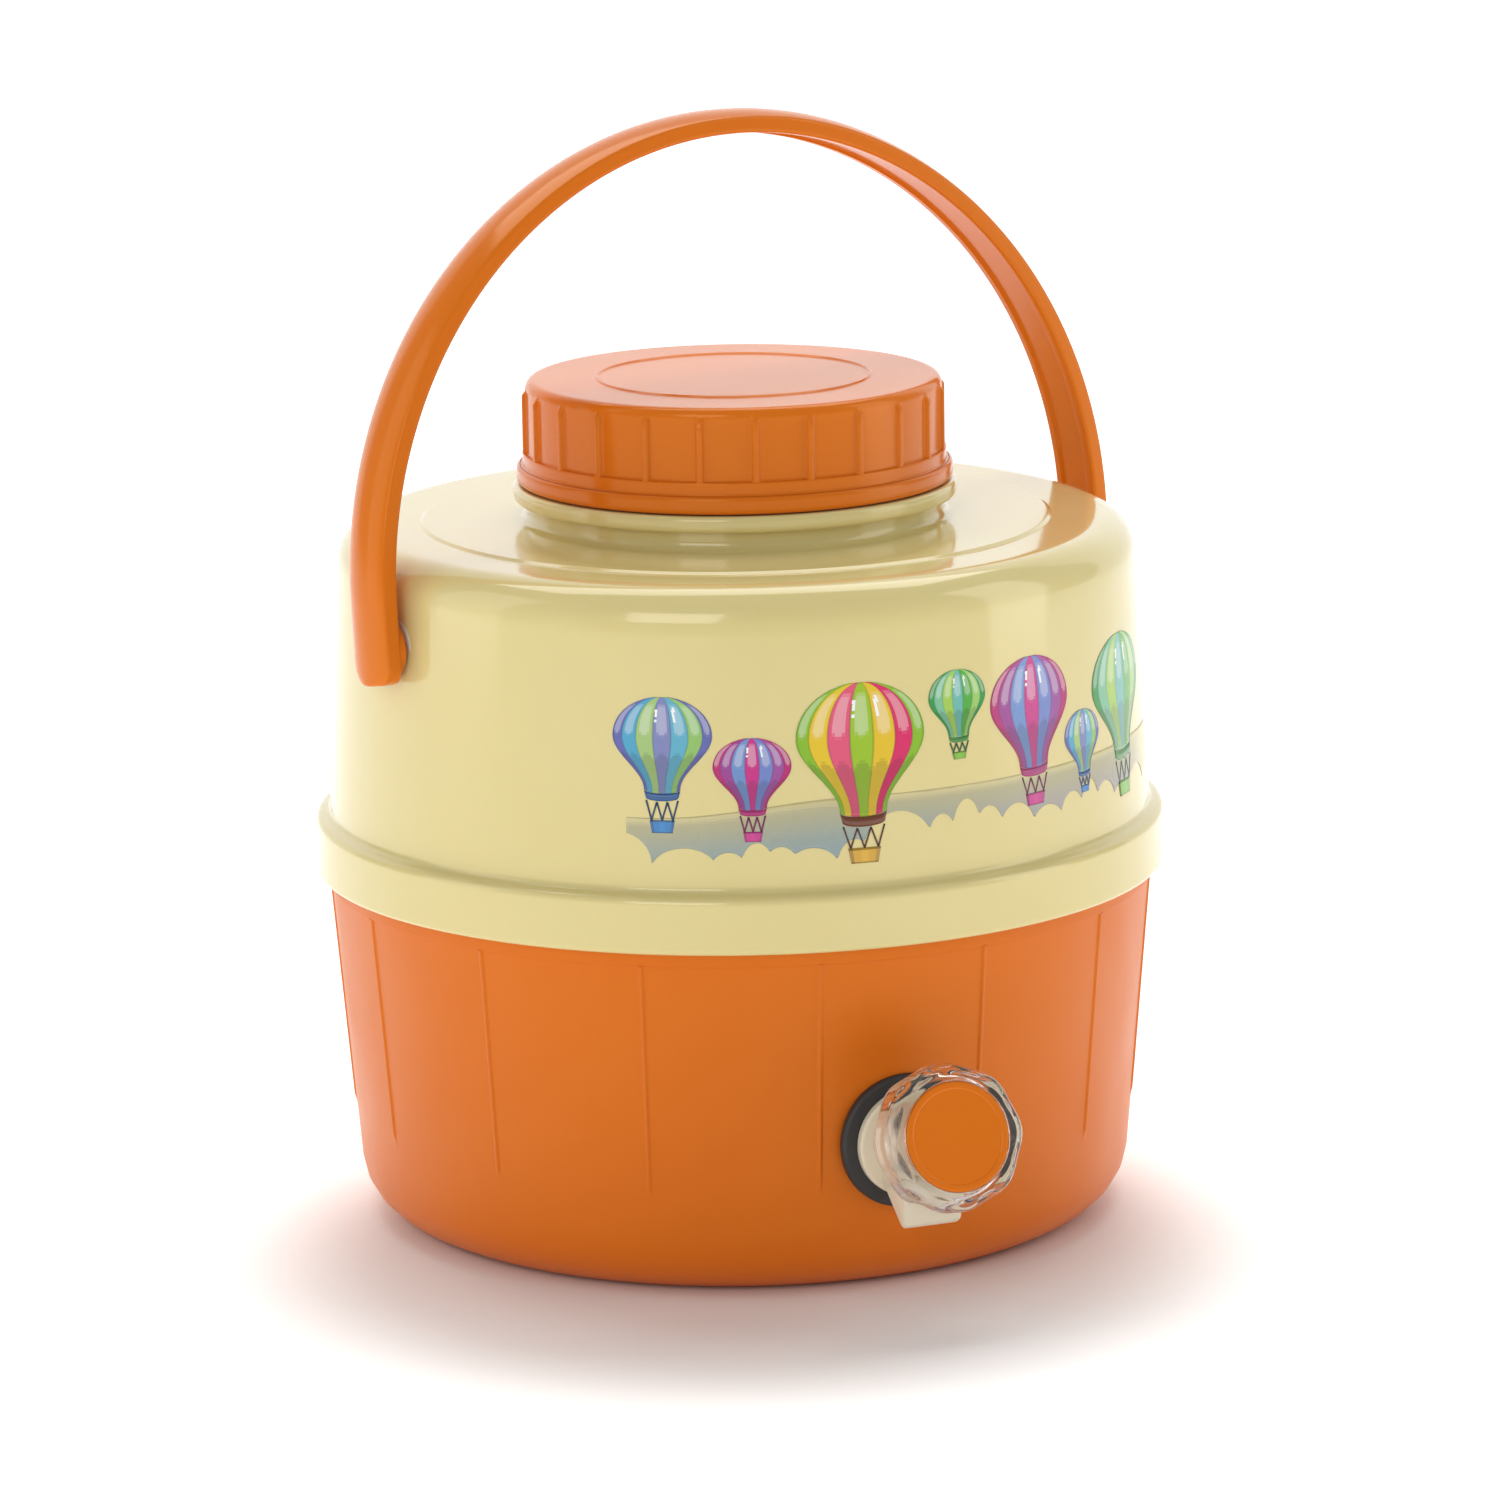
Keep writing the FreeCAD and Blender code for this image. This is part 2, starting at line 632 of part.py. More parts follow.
# ---------------------------------------------------------------- lid
def make_lid_cap():
    body = new_body("lid_cap")
    bore = "cap_radius - cap_wall"
    band = "cap_radius + cap_rib_proud"
    cap = revolve(body, [
        (bore, "cap_bottom"),
        ("cap_flange_radius", "cap_bottom"),
        ("cap_flange_radius", "cap_flange_top"),
        (band, "cap_flange_top"),
        (band, "cap_band_top"),
        ("cap_radius", "cap_band_top"),
        ("cap_radius", "cap_top"),
        ("ring_radius + ring_width / 2", "cap_top"),
        ("ring_radius", "cap_top + ring_height"),
        ("ring_radius - ring_width / 2", "cap_top"),
        ("0", "cap_top"),
        ("0", "cap_top - cap_deck"),
        (bore, "cap_top - cap_deck"),
    ])
    flange = circle_edges(cap.Shape, [("cap_flange_radius", "cap_bottom"), ("cap_flange_radius", "cap_flange_top")])
    cap = soften(body, cap, flange, "cap_deck / 2")
    cap = soften(body, cap, circle_edges(cap.Shape, [("cap_radius", "cap_top")]), "cap_round")

    rib_sketch = new_sketch(body, "lid_cap_rib", "XZ_Plane")
    add_loop(rib_sketch, [
        ("cap_radius - cap_wall / 2", "cap_band_top - cap_deck / 2"),
        (band, "cap_band_top - cap_deck / 2"),
        (band, "cap_rib_top - cap_rib_proud"),
        (band + " - cap_rib_proud / 3", "cap_rib_top - cap_rib_proud / 3"),
        ("cap_radius", "cap_rib_top"),
        ("cap_radius - cap_wall / 2", "cap_rib_top"),
    ])
    rib = pad(body, rib_sketch, "cap_rib_width", both=True)
    polar(body, rib, "cap_ribs")
    # the cap's ridge starts half a lead above the neck's, so each runs midway in the other's groove
    outline = ridge_outline(bore + " + thread_gap / 2", "mouth_radius + mouth_wall + thread_gap",
                            "neck_thread_bottom + thread_lead / 2")
    helix(body, "lid_thread", outline, "cap_thread_height", "-cap_turn")
    body.Placement = Placement(Vector(), Rotation(Vector(0, 0, 1), value("cap_turn")))
    return body


def make_lid_liner():
    body = new_body("lid_liner")
    under = "cap_top - cap_deck"
    skirt = "mouth_radius - liner_gap"
    liner = revolve(body, [
        ("0", "%s - liner_flange - liner_depth" % under),
        (skirt, "%s - liner_flange - liner_depth" % under),
        (skirt, "%s - liner_flange" % under),
        ("cap_radius - cap_wall - shell_gap", "%s - liner_flange" % under),
        ("cap_radius - cap_wall - shell_gap", under),
        (skirt + " - liner_wall", under),
        (skirt + " - liner_wall", "%s - liner_flange - liner_depth + liner_wall" % under),
        ("0", "%s - liner_flange - liner_depth + liner_wall" % under),
    ])
    soften(body, liner, circle_edges(liner.Shape, [(skirt, "%s - liner_flange - liner_depth" % under)]),
           "liner_wall")
    return body


def make_lid_foam():
    body = new_body("lid_foam")
    under = "cap_top - cap_deck"
    edge = "mouth_radius - liner_gap - liner_wall - foam_gap"
    revolve(body, [
        ("0", "%s - liner_flange - liner_depth + liner_wall + foam_gap" % under),
        (edge, "%s - liner_flange - liner_depth + liner_wall + foam_gap" % under),
        (edge, under + " - foam_gap"),
        ("0", under + " - foam_gap"),
    ])
    return body


def make_lid_gasket():
    body = new_body("lid_gasket")
    under = "cap_top - cap_deck - liner_flange"
    inner = "mouth_radius - liner_gap / 2"
    gasket = revolve(body, [
        (inner, "rim_height"),
        ("mouth_radius + mouth_wall", "rim_height"),
        ("mouth_radius + mouth_wall", under),
        (inner, under),
    ])
    return gasket


# ---------------------------------------------------------------- foam between the walls
def make_insulation_foam():
    body = new_body("insulation_foam")
    floor = "foot_rise + lower_wall + foam_gap"
    slope = "(lower_wall_top - floor_radius) / ledge_bottom"
    foam = revolve(body, [
        ("0", "foot_rise + lower_wall * 2 + foam_gap"),
        ("fill_hole + lower_wall", "foot_rise + lower_wall * 2 + foam_gap"),
        ("fill_hole + lower_wall", floor),
        ("floor_radius - lower_wall + %s * (foot_rise + lower_wall) - foam_gap" % slope, floor),
        ("lower_wall_top - lower_wall - foam_gap", "ledge_bottom"),
        ("upper_foot_radius - upper_wall - foam_gap", "spigot_top + shell_gap"),
        ("upper_top_radius - upper_wall - foam_gap", "deck_height - upper_wall - foam_gap"),
        ("mouth_radius + mouth_wall + foam_gap", "deck_height - upper_wall - foam_gap"),
        ("mouth_radius + mouth_wall + foam_gap", "vessel_shoulder + foam_gap"),
        ("vessel_top_radius + foam_gap", "vessel_shoulder + foam_gap"),
        ("vessel_foot_radius + foam_gap", "vessel_bottom - foam_gap"),
        ("0", "vessel_bottom - foam_gap"),
    ])
    outer = circle_edges(foam.Shape, [
        ("floor_radius - lower_wall + %s * (foot_rise + lower_wall) - foam_gap" % slope, floor),
    ])
    foam = soften(body, foam, outer, "floor_round - lower_wall")
    top = circle_edges(foam.Shape, [
        ("upper_top_radius - upper_wall - foam_gap", "deck_height - upper_wall - foam_gap"),
    ])
    foam = soften(body, foam, top, "shoulder_round - upper_wall")
    inner = circle_edges(foam.Shape, [
        ("vessel_top_radius + foam_gap", "vessel_shoulder + foam_gap"),
        ("vessel_foot_radius + foam_gap", "vessel_bottom - foam_gap"),
    ])
    soften(body, foam, inner, "vessel_round")

    # room for the tap's sleeve and seats, and for the cups behind the bail pivots
    tunnel = new_sketch(body, "foam_tunnel", "YZ_Plane", height="boss_face")
    add_circle(tunnel, "0", "tap_height", "shank_radius + shank_clearance + sleeve_wall + foam_gap")
    pad(body, tunnel, "boss_face", cut=True)
    outer_seat = new_sketch(body, "foam_outer_seat", "YZ_Plane", height="boss_face")
    add_circle(outer_seat, "0", "tap_height", "boss_radius + foam_gap")
    pad(body, outer_seat, "seat_depth + foam_gap", cut=True)
    inner_seat = new_sketch(body, "foam_inner_seat", "YZ_Plane", height="vessel_boss_face + foam_gap")
    add_circle(inner_seat, "0", "tap_height", "vessel_boss_radius + foam_gap")
    pad(body, inner_seat, "vessel_boss_face", cut=True)
    cups = new_sketch(body, "foam_cups", "YZ_Plane", spin="-tap_bearing")
    add_circle(cups, "0", "pivot_height", "bush_flange + cup_gap + cup_wall + foam_gap")
    pad(body, cups, "belt_radius * 2", both=True, cut=True)
    body.Placement = TAP_FRAME
    return body


# ---------------------------------------------------------------- bail handle and its pivots
def bail_section(body, name):
    """Crowned strap section at the right-hand leg, with a shallow channel on its inner face."""
    inner = "bail_radius - bail_crown - bail_edge"
    shoulder = "bail_radius - bail_crown"
    half = "bail_width / 2"
    channel = "%s - bail_rim" % half
    sketch = new_sketch(body, name, "XY_Plane", height="bail_centre")
    corners = [
        (shoulder, half), (inner, half), (inner, channel),
        (inner + " + bail_channel", channel + " - bail_channel"),
        (inner + " + bail_channel", "-(%s - bail_channel)" % channel),
        (inner, "-(%s)" % channel), (inner, "-" + half), (shoulder, "-" + half),
    ]
    places = [Vector(value(x), value(y), 0) for x, y in corners]
    for start, end in zip(places, places[1:]):
        sketch.addGeometry(Part.LineSegment(start, end), False)
    lines = len(corners) - 1
    crown_radius = "(bail_crown * bail_crown + bail_width * bail_width / 4) / (2 * bail_crown)"
    radius = value(crown_radius)
    swing = math.asin(value(half) / radius)
    centre = Vector(value("bail_radius") - radius, 0, 0)
    circle = Part.Circle(centre, Vector(0, 0, 1), radius)
    crown = sketch.addGeometry(Part.ArcOfCircle(circle, -swing, swing), False)
    for i in range(lines - 1):
        sketch.addConstraint(Sketcher.Constraint("Coincident", i, 2, i + 1, 1))
    sketch.addConstraint(Sketcher.Constraint("Coincident", lines - 1, 2, crown, 1))
    sketch.addConstraint(Sketcher.Constraint("Coincident", crown, 2, 0, 1))
    for i, (x, y) in enumerate(corners[:-1]):
        hold_point(sketch, i, 1, x, y)
    hold_point(sketch, lines - 1, 2, *corners[-1])
    index = sketch.addConstraint(Sketcher.Constraint("Radius", crown, radius))
    bind(sketch, "Constraints[%d]" % index, crown_radius)
    return sketch


def bail_frame():
    """Where the bail rests: slid to one side on its pins and leaning back a little."""
    pivot = Vector(0, 0, value("pivot_height"))
    lean = Placement(Vector(), Rotation(Vector(1, 0, 0), -value("bail_lean")))
    slide = Vector(value("bail_side_play"), 0, 0)
    return Placement(pivot + slide, Rotation()) * lean * Placement(-pivot, Rotation())


def make_bail_handle():
    body = new_body("bail_handle")
    arch = body.newObject("PartDesign::Revolution", "bail_arch")
    arch.Profile = bail_section(body, "bail_arch_section")
    arch.ReferenceAxis = (arch.Profile[0], ["V_Axis"])
    arch.Angle = 180
    arch.Reversed = True
    doc.recompute()
    leg = pad(body, bail_section(body, "bail_leg_section"), "bail_centre - bail_end", back=True)
    corners = []
    for i, edge in enumerate(leg.Shape.Edges, start=1):
        centre = edge.CenterOfMass
        flat = isinstance(edge.Curve, Part.Line) and abs(edge.Curve.Direction.x) > 0.99
        if flat and abs(centre.z - value("bail_end")) < 0.01 and abs(abs(centre.y) - value("bail_width / 2")) < 0.01:
            corners.append("Edge%d" % i)
    soften(body, leg, corners, "bail_end_round")

    hub = new_sketch(body, "bail_hub", "YZ_Plane", height="hub_face")
    add_circle(hub, "0", "pivot_height", "hub_radius")
    hub_pad = pad(body, hub, "bail_radius - bail_crown - bail_edge / 2 - hub_face")
    pin = new_sketch(body, "bail_pin", "YZ_Plane", height="nut_face - push_nut_width * 2")
    add_circle(pin, "0", "pivot_height", "pin_radius")
    pin_pad = pad(body, pin, "bail_radius - bail_crown - bail_edge / 2 - nut_face + push_nut_width * 2")
    mirror = body.newObject("PartDesign::Mirrored", "bail_other_side")
    mirror.Originals = [leg, hub_pad, pin_pad]
    mirror.MirrorPlane = (origin_item(body, "YZ_Plane"), [""])
    body.Tip = mirror
    doc.recompute()
    body.Placement = bail_frame()
    return body


def side_frame(side):
    """Frame of one bail pivot: local Z points outward along the pivot axis."""
    return Placement(Vector(0, 0, value("pivot_height")), Rotation(Vector(0, 1, 0), 90 * side))


def make_pivot_pieces(name, side):
    bush = new_body("pivot_bush_" + name)
    bore = "pin_radius + pin_clearance"
    revolve(bush, [
        (bore, "bush_face - bush_flange_width"),
        ("bush_flange", "bush_face - bush_flange_width"),
        ("bush_flange", "bush_face"),
        ("bush_radius", "bush_face"),
        ("bush_radius", "pivot_wall - shell_gap"),
        (bore, "pivot_wall - shell_gap"),
    ])
    bush.Placement = side_frame(side)

    cup = new_body("pivot_cup_" + name)
    inside = "bush_flange + cup_gap"
    revolve(cup, [
        ("0", "cup_back"),
        (inside + " + cup_wall", "cup_back"),
        (inside + " + cup_wall", "cup_rim"),
        (inside, "cup_rim"),
        (inside, "cup_back + cup_wall"),
        ("0", "cup_back + cup_wall"),
    ])
    cup.Placement = side_frame(side)

    nut = new_body("push_nut_" + name)
    revolve(nut, [
        ("pin_radius", "nut_face - push_nut_width"),
        ("push_nut_radius", "nut_face - push_nut_width"),
        ("push_nut_radius", "nut_face"),
        ("pin_radius", "nut_face"),
    ])
    nut.Placement = bail_frame() * side_frame(side)


# ---------------------------------------------------------------- tap
def barrel_sketch(body, name, along):
    """A sketch square to the tilted barrel, a distance along it from the flange face."""
    sketch = body.newObject("Sketcher::SketchObject", name)
    sketch.AttachmentSupport = [(origin_item(body, "XY_Plane"), "")]
    sketch.MapMode = "FlatFace"
    sketch.AttachmentOffset = BARREL * Placement(Vector(0, 0, value(along)), Rotation())
    return sketch


def make_tap_body():
    body = new_body("tap_body")
    start = barrel_sketch(body, "tap_barrel", "-barrel_radius / 2")
    add_circle(start, "0", "0", "barrel_radius")
    pad(body, start, "barrel_length + barrel_radius / 2")
    spout = new_sketch(body, "tap_spout", "XZ_Plane")
    add_loop(spout, [
        ("flange_face - flange_width / 4", "tap_height - barrel_radius + flange_width"),
        ("flange_face + flange_width / 2", "tap_height - spout_heel"),
        ("flange_face + spout_reach", "tap_height - spout_drop"),
        ("flange_face + spout_front - flange_width / 3", "tap_height - spout_drop + flange_width / 2"),
        ("flange_face + spout_front", "tap_height - barrel_radius / 2"),
        ("flange_face + outlet_reach", "tap_height"),
        ("flange_face - flange_width / 4", "tap_height"),
    ])
    pad(body, spout, "spout_width", both=True)
    behind = new_sketch(body, "tap_behind", "YZ_Plane", height="flange_face - flange_width")
    add_circle(behind, "0", "tap_height", "flange_radius * 2")
    pad(body, behind, "flange_radius * 2", cut=True)
    flange = new_sketch(body, "tap_flange", "YZ_Plane", height="flange_face")
    add_circle(flange, "0", "tap_height", "flange_radius")
    pad(body, flange, "flange_width", back=True)
    shank = new_sketch(body, "tap_shank", "YZ_Plane", height="flange_face")
    add_circle(shank, "0", "tap_height", "shank_radius")
    pad(body, shank, "flange_face - shank_end", back=True)
    waterway = new_sketch(body, "tap_waterway", "YZ_Plane", height="flange_face + plug_back")
    add_circle(waterway, "0", "tap_height", "waterway_radius")
    pad(body, waterway, "flange_face", cut=True)
    bore = barrel_sketch(body, "tap_bore", "barrel_length")
    add_circle(bore, "0", "0", "plug_radius")
    pad(body, bore, "barrel_length - plug_back", cut=True)
    outlet = new_sketch(body, "tap_outlet", "XY_Plane", height="tap_height")
    add_circle(outlet, "flange_face + outlet_reach", "0", "outlet_radius")
    pad(body, outlet, "spout_drop * 2", cut=True)
    body.Placement = TAP_FRAME
    return body


def make_shank_pieces():
    bore = "shank_radius + shank_clearance"
    outer = new_body("tap_washer_outer")
    washer = revolve(outer, [
        ("shank_radius", "boss_face"), ("gasket_radius", "boss_face"),
        ("gasket_radius", "boss_face + gasket_width"), ("shank_radius", "boss_face + gasket_width"),
    ])
    soften(outer, washer, circle_edges(washer.Shape, [("gasket_radius", "boss_face + gasket_width")]),
           "gasket_width * 0.4")

    sleeve = new_body("tap_sleeve")
    revolve(sleeve, [
        (bore, "vessel_boss_face"), (bore + " + sleeve_wall", "vessel_boss_face"),
        (bore + " + sleeve_wall", "boss_face - seat_depth"), (bore, "boss_face - seat_depth"),
    ])

    inner = new_body("tap_washer_inner")
    revolve(inner, [
        ("shank_radius", "vessel_seat - inner_washer_width"),
        ("inner_washer_radius", "vessel_seat - inner_washer_width"),
        ("inner_washer_radius", "vessel_seat"), ("shank_radius", "vessel_seat"),
    ])

    nut = new_body("tap_locknut")
    face = new_sketch(nut, "locknut_hexagon", "XY_Plane", height="vessel_seat - inner_washer_width")
    half, rise = "locknut_radius / 2", "locknut_radius * sqrt(3) / 2"
    add_loop(face, [
        ("locknut_radius", "0"), (half, rise), ("-" + half, rise),
        ("-locknut_radius", "0"), ("-" + half, "-" + rise), (half, "-" + rise),
    ])
    add_circle(face, "0", "0", "shank_radius")
    pad(nut, face, "locknut_width", back=True)
    for body in (outer, sleeve, inner, nut):
        body.Placement = SHANK_FRAME


# ---------------------------------------------------------------- valve and knob
def make_valve_plug():
    body = new_body("valve_plug")
    skin = "plug_radius - plug_clearance"
    groove = "plug_radius - plug_clearance / 2 - 2 * o_ring_section"
    points = [("0", "plug_back + plug_clearance * 2"), (skin, "plug_back + plug_clearance * 2")]
    for place in ("o_ring_rear", "o_ring_front"):
        points += [
            (skin, place + " - o_ring_section * 1.3"), (groove, place + " - o_ring_section * 1.3"),
            (groove, place + " + o_ring_section * 1.3"), (skin, place + " + o_ring_section * 1.3"),
        ]
    points += [(skin, "plug_front"), ("stem_radius", "plug_front"), ("stem_radius", "stem_end"), ("0", "stem_end")]
    revolve(body, points)
    feed = new_sketch(body, "plug_feed", "XY_Plane")
    add_circle(feed, "0", "0", "feed_radius")
    pad(body, feed, "port_place + port_radius + feed_past", back=True, cut=True)
    # the port faces sideways when the tap is shut; a quarter turn brings it over the outlet
    port = new_sketch(body, "plug_port", "XZ_Plane")
    add_circle(port, "0", "port_place", "port_radius")
    pad(body, port, "plug_radius * 2", back=True, cut=True)
    pilot = new_sketch(body, "plug_pilot", "XY_Plane", height="stem_end")
    add_circle(pilot, "0", "0", "screw_radius")
    pad(body, pilot, "screw_length", cut=True)
    body.Placement = VALVE_FRAME
    return body


def make_o_ring(name, place):
    body = new_body(name)
    sketch = new_sketch(body, name + "_section", "XZ_Plane")
    add_circle(sketch, "plug_radius - plug_clearance / 2 - o_ring_section", place, "o_ring_section")
    ring = body.newObject("PartDesign::Revolution", name + "_turn")
    ring.Profile = sketch
    ring.ReferenceAxis = (sketch, ["V_Axis"])
    ring.Angle = 360
    body.Placement = VALVE_FRAME
    return body


def make_tap_knob():
    body = new_body("tap_knob")
    socket = "stem_radius + plug_clearance"
    head = "screw_head_radius + plug_clearance"
    knob = revolve(body, [
        (socket, "knob_back"),
        (socket + " + hub_wall", "knob_back"),
        (socket + " + hub_wall", "insert_floor - hub_wall"),
        ("knob_radius - knob_wall", "insert_floor - hub_wall"),
        ("knob_radius - knob_wall", "knob_back"),
        ("knob_radius - knob_lip", "knob_back"),
        ("knob_radius", "knob_back + knob_lip"),
        ("knob_radius", "knob_front"),
        ("insert_radius + plug_clearance", "knob_front"),
        ("insert_radius + plug_clearance", "insert_floor"),
        (head, "insert_floor"),
        (head, "screw_shoulder"),
        ("screw_radius + plug_clearance", "screw_shoulder"),
        ("screw_radius + plug_clearance", "stem_end + plug_clearance"),
        (socket, "stem_end + plug_clearance"),
    ])
    soften(body, knob, circle_edges(knob.Shape, [("knob_radius", "knob_front")]), "knob_round")
    flute = new_sketch(body, "knob_flute", "XY_Plane", height="knob_front + knob_lip")
    reach = "(knob_radius - flute_depth + flute_radius) * %s(180 deg / knob_flutes)"
    add_circle(flute, reach % "cos", reach % "sin", "flute_radius")
    polar(body, pad(body, flute, "knob_depth + knob_lip * 2", cut=True), "knob_flutes")
    body.Placement = VALVE_FRAME
    return body


def make_knob_insert():
    body = new_body("knob_insert")
    disc = revolve(body, [
        ("0", "insert_floor"), ("insert_radius", "insert_floor"),
        ("insert_radius", "knob_front"), ("0", "knob_front"),
    ])
    soften(body, disc, circle_edges(disc.Shape, [("insert_radius", "knob_front")]), "insert_width / 4")
    body.Placement = VALVE_FRAME
    return body


def make_knob_screw():
    body = new_body("knob_screw")
    revolve(body, [
        ("0", "screw_shoulder - screw_length"), ("screw_radius", "screw_shoulder - screw_length"),
        ("screw_radius", "screw_shoulder"), ("screw_head_radius", "screw_shoulder"),
        ("screw_head_radius", "screw_top"), ("0", "screw_top"),
    ])
    body.Placement = VALVE_FRAME
    return body


# ---------------------------------------------------------------- build, check and write
make_lower_shell()
make_upper_shell()
make_inner_vessel()
make_insulation_foam()
make_neck_collar()
make_neck_seal()
make_foam_plug()
make_lid_cap()
make_lid_liner()
make_lid_foam()
make_lid_gasket()
make_bail_handle()
make_pivot_pieces("left", -1)
make_pivot_pieces("right", 1)
make_tap_body()
make_shank_pieces()
make_valve_plug()
make_o_ring("plug_o_ring_front", "o_ring_front")
make_o_ring("plug_o_ring_rear", "o_ring_rear")
make_tap_knob()
make_knob_insert()
make_knob_screw()
doc.recompute()

for item in doc.Objects:
    if {"Invalid", "Error"} & set(item.State):
        raise RuntimeError("%s failed: %s" % (item.Name, item.State))

bodies = [item for item in doc.Objects if item.TypeId == "PartDesign::Body"]
for body in bodies:
    shape = body.Shape
    if shape.isNull() or not shape.isValid() or len(shape.Solids) != 1:
        raise RuntimeError("%s isn't one sound solid" % body.Label)

os.makedirs("parts", exist_ok=True)
for body in bodies:
    body.Shape.exportStep("parts/%s.step" % body.Label)
    print("%-18s %8.2f cm3" % (body.Label, body.Shape.Volume / 1000))
print(len(bodies), "pieces")
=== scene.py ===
# %% [markdown]
# # An insulated drink jug with a tap
#
# This is a picnic jug for serving cold drinks: two plastic shells snapped together over
# foam, a screw lid, a bail handle that swings on two pins, and a turn tap near the floor.
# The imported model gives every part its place. Here the parts that are seen get smooth
# surfaces and real finishes. Each surface is a formula worked out on a grid of points,
# because turned and moulded plastic is exactly that: an outline carried round a circle
# or along a path.

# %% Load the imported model
import json
import math

import bmesh
import bpy
import numpy as np
from mathutils import Matrix


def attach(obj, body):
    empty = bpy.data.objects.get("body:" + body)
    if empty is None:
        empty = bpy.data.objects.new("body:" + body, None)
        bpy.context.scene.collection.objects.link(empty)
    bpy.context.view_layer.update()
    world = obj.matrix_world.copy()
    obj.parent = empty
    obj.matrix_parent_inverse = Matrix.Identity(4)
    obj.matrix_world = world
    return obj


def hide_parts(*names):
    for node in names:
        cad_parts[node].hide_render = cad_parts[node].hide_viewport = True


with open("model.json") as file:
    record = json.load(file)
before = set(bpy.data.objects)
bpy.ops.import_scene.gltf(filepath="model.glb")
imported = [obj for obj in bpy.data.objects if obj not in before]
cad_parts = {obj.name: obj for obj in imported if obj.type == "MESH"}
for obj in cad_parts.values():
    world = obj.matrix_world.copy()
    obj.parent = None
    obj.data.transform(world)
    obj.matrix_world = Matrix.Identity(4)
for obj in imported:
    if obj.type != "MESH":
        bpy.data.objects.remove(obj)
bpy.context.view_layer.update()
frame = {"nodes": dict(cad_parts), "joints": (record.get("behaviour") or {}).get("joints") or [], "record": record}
MM = 0.001
joints = {joint["name"]: joint for joint in frame["joints"]}

# %% [markdown]
# ## Colours and shader nodes
#
# Screens store colours in sRGB, while the renderer adds up light in linear values, so one
# function turns the usual hex text to linear. A second one adds any shader node, sets its
# values and joins its inputs, so that a material reads as a short list of steps.

# %% Helpers for colour and nodes
def linear(text):
    """sRGB hex to linear light: each channel c becomes ((c + 0.055) / 1.055) ** 2.4, or c / 12.92 if dark."""
    c = np.array([int(text[i:i + 2], 16) for i in (0, 2, 4)]) / 255
    return (*np.where(c > 0.04045, ((c + 0.055) / 1.055) ** 2.4, c / 12.92).tolist(), 1.0)


def node(tree, kind, settings=(), values=(), links=()):
    """Add one shader node, set its properties and socket values, and link sockets into it."""
    made = tree.nodes.new(kind)
    for name, setting in dict(settings).items():
        setattr(made, name, setting)
    for name, number in dict(values).items():
        made.inputs[name].default_value = number
    for name, socket in dict(links).items():
        tree.links.new(socket, made.inputs[name])
    return made


def plastic(name, colour, shift, rough, grain_mm, grain_depth, coat=0.0, glow=0.0, sheen="ffffff"):
    """Moulded plastic: its base colour and gloss drift a little together, under a fine skin of bumps."""
    material = bpy.data.materials.new(name)
    material.use_nodes = True
    tree = material.node_tree
    skin = tree.nodes["Principled BSDF"]
    skin.inputs["IOR"].default_value = 1.49
    skin.inputs["Specular Tint"].default_value = linear(sheen)
    skin.inputs["Coat Weight"].default_value = coat
    skin.inputs["Coat Roughness"].default_value = 0.06
    skin.inputs["Subsurface Weight"].default_value = glow
    skin.inputs["Subsurface Radius"].default_value = (1.0, 0.6, 0.3)
    skin.inputs["Subsurface Scale"].default_value = 2 * MM
    place = node(tree, "ShaderNodeTexCoord").outputs["Object"]
    # flow marks: clouds of pigment about 45 mm across
    flow = node(tree, "ShaderNodeTexNoise", values={"Scale": 1 / (45 * MM), "Detail": 3.0, "Roughness": 0.6},
                links={"Vector": place}).outputs["Fac"]
    tint = node(tree, "ShaderNodeMix", {"data_type": "RGBA"}, {"A": linear(colour), "B": linear(shift)},
                {"Factor": flow})
    tree.links.new(tint.outputs["Result"], skin.inputs["Base Color"])
    gloss = node(tree, "ShaderNodeMapRange", values={"From Min": 0.3, "From Max": 0.7, "To Min": rough * 0.85,
                                                      "To Max": rough * 1.2}, links={"Value": flow})
    tree.links.new(gloss.outputs["Result"], skin.inputs["Roughness"])
    # the mould's own surface
    grain = node(tree, "ShaderNodeTexNoise", values={"Scale": 1 / (grain_mm * MM), "Detail": 2.0},
                 links={"Vector": place}).outputs["Fac"]
    bump = node(tree, "ShaderNodeBump", values={"Strength": 1.0, "Distance": grain_depth * MM},
                links={"Height": grain})
    tree.links.new(bump.outputs["Normal"], skin.inputs["Normal"])
    return material

# %% [markdown]
# ## The plastics
#
# The shells, lid and handle are injection moulded polypropylene. The cream shell and the
# lid come out of a polished mould, so they are glossy, with a slight waviness where the
# plastic shrank as it cooled. The orange base comes from a finely textured mould and looks
# satin. The grain is about half a millimetre, and its depth only a few thousandths of one.

# %% Moulded polypropylene
CREAM, CREAM_DEEP = "e1d397", "ddcd8a"
WARM_SHEEN = "ffd79a"
cream_polypropylene = plastic("cream_moulded_polypropylene", CREAM, CREAM_DEEP, 0.13, 9.0, 0.010,
                              0.5, 0.1, "fff4dc")
satin_polypropylene = plastic("orange_textured_polypropylene", "dd7119", "d96b16", 0.36, 0.55, 0.004,
                              0.0, 0.05, WARM_SHEEN)
gloss_polypropylene = plastic("orange_polished_polypropylene", "df761b", "db6f17", 0.17, 7.0, 0.006,
                              0.0, 0.05, WARM_SHEEN)
tap_polypropylene = plastic("cream_tap_polypropylene", "e9dfc8", "e5d9bd", 0.3, 3.0, 0.004, 0.0, 0.1)
white_polyethylene = plastic("white_moulded_polyethylene", "efece2", "e9e5d8", 0.4, 1.2, 0.006, 0.0, 0.1)
poured_foam = plastic("poured_polyurethane_foam", "e8d9a0", "dcc887", 0.9, 0.9, 0.15)
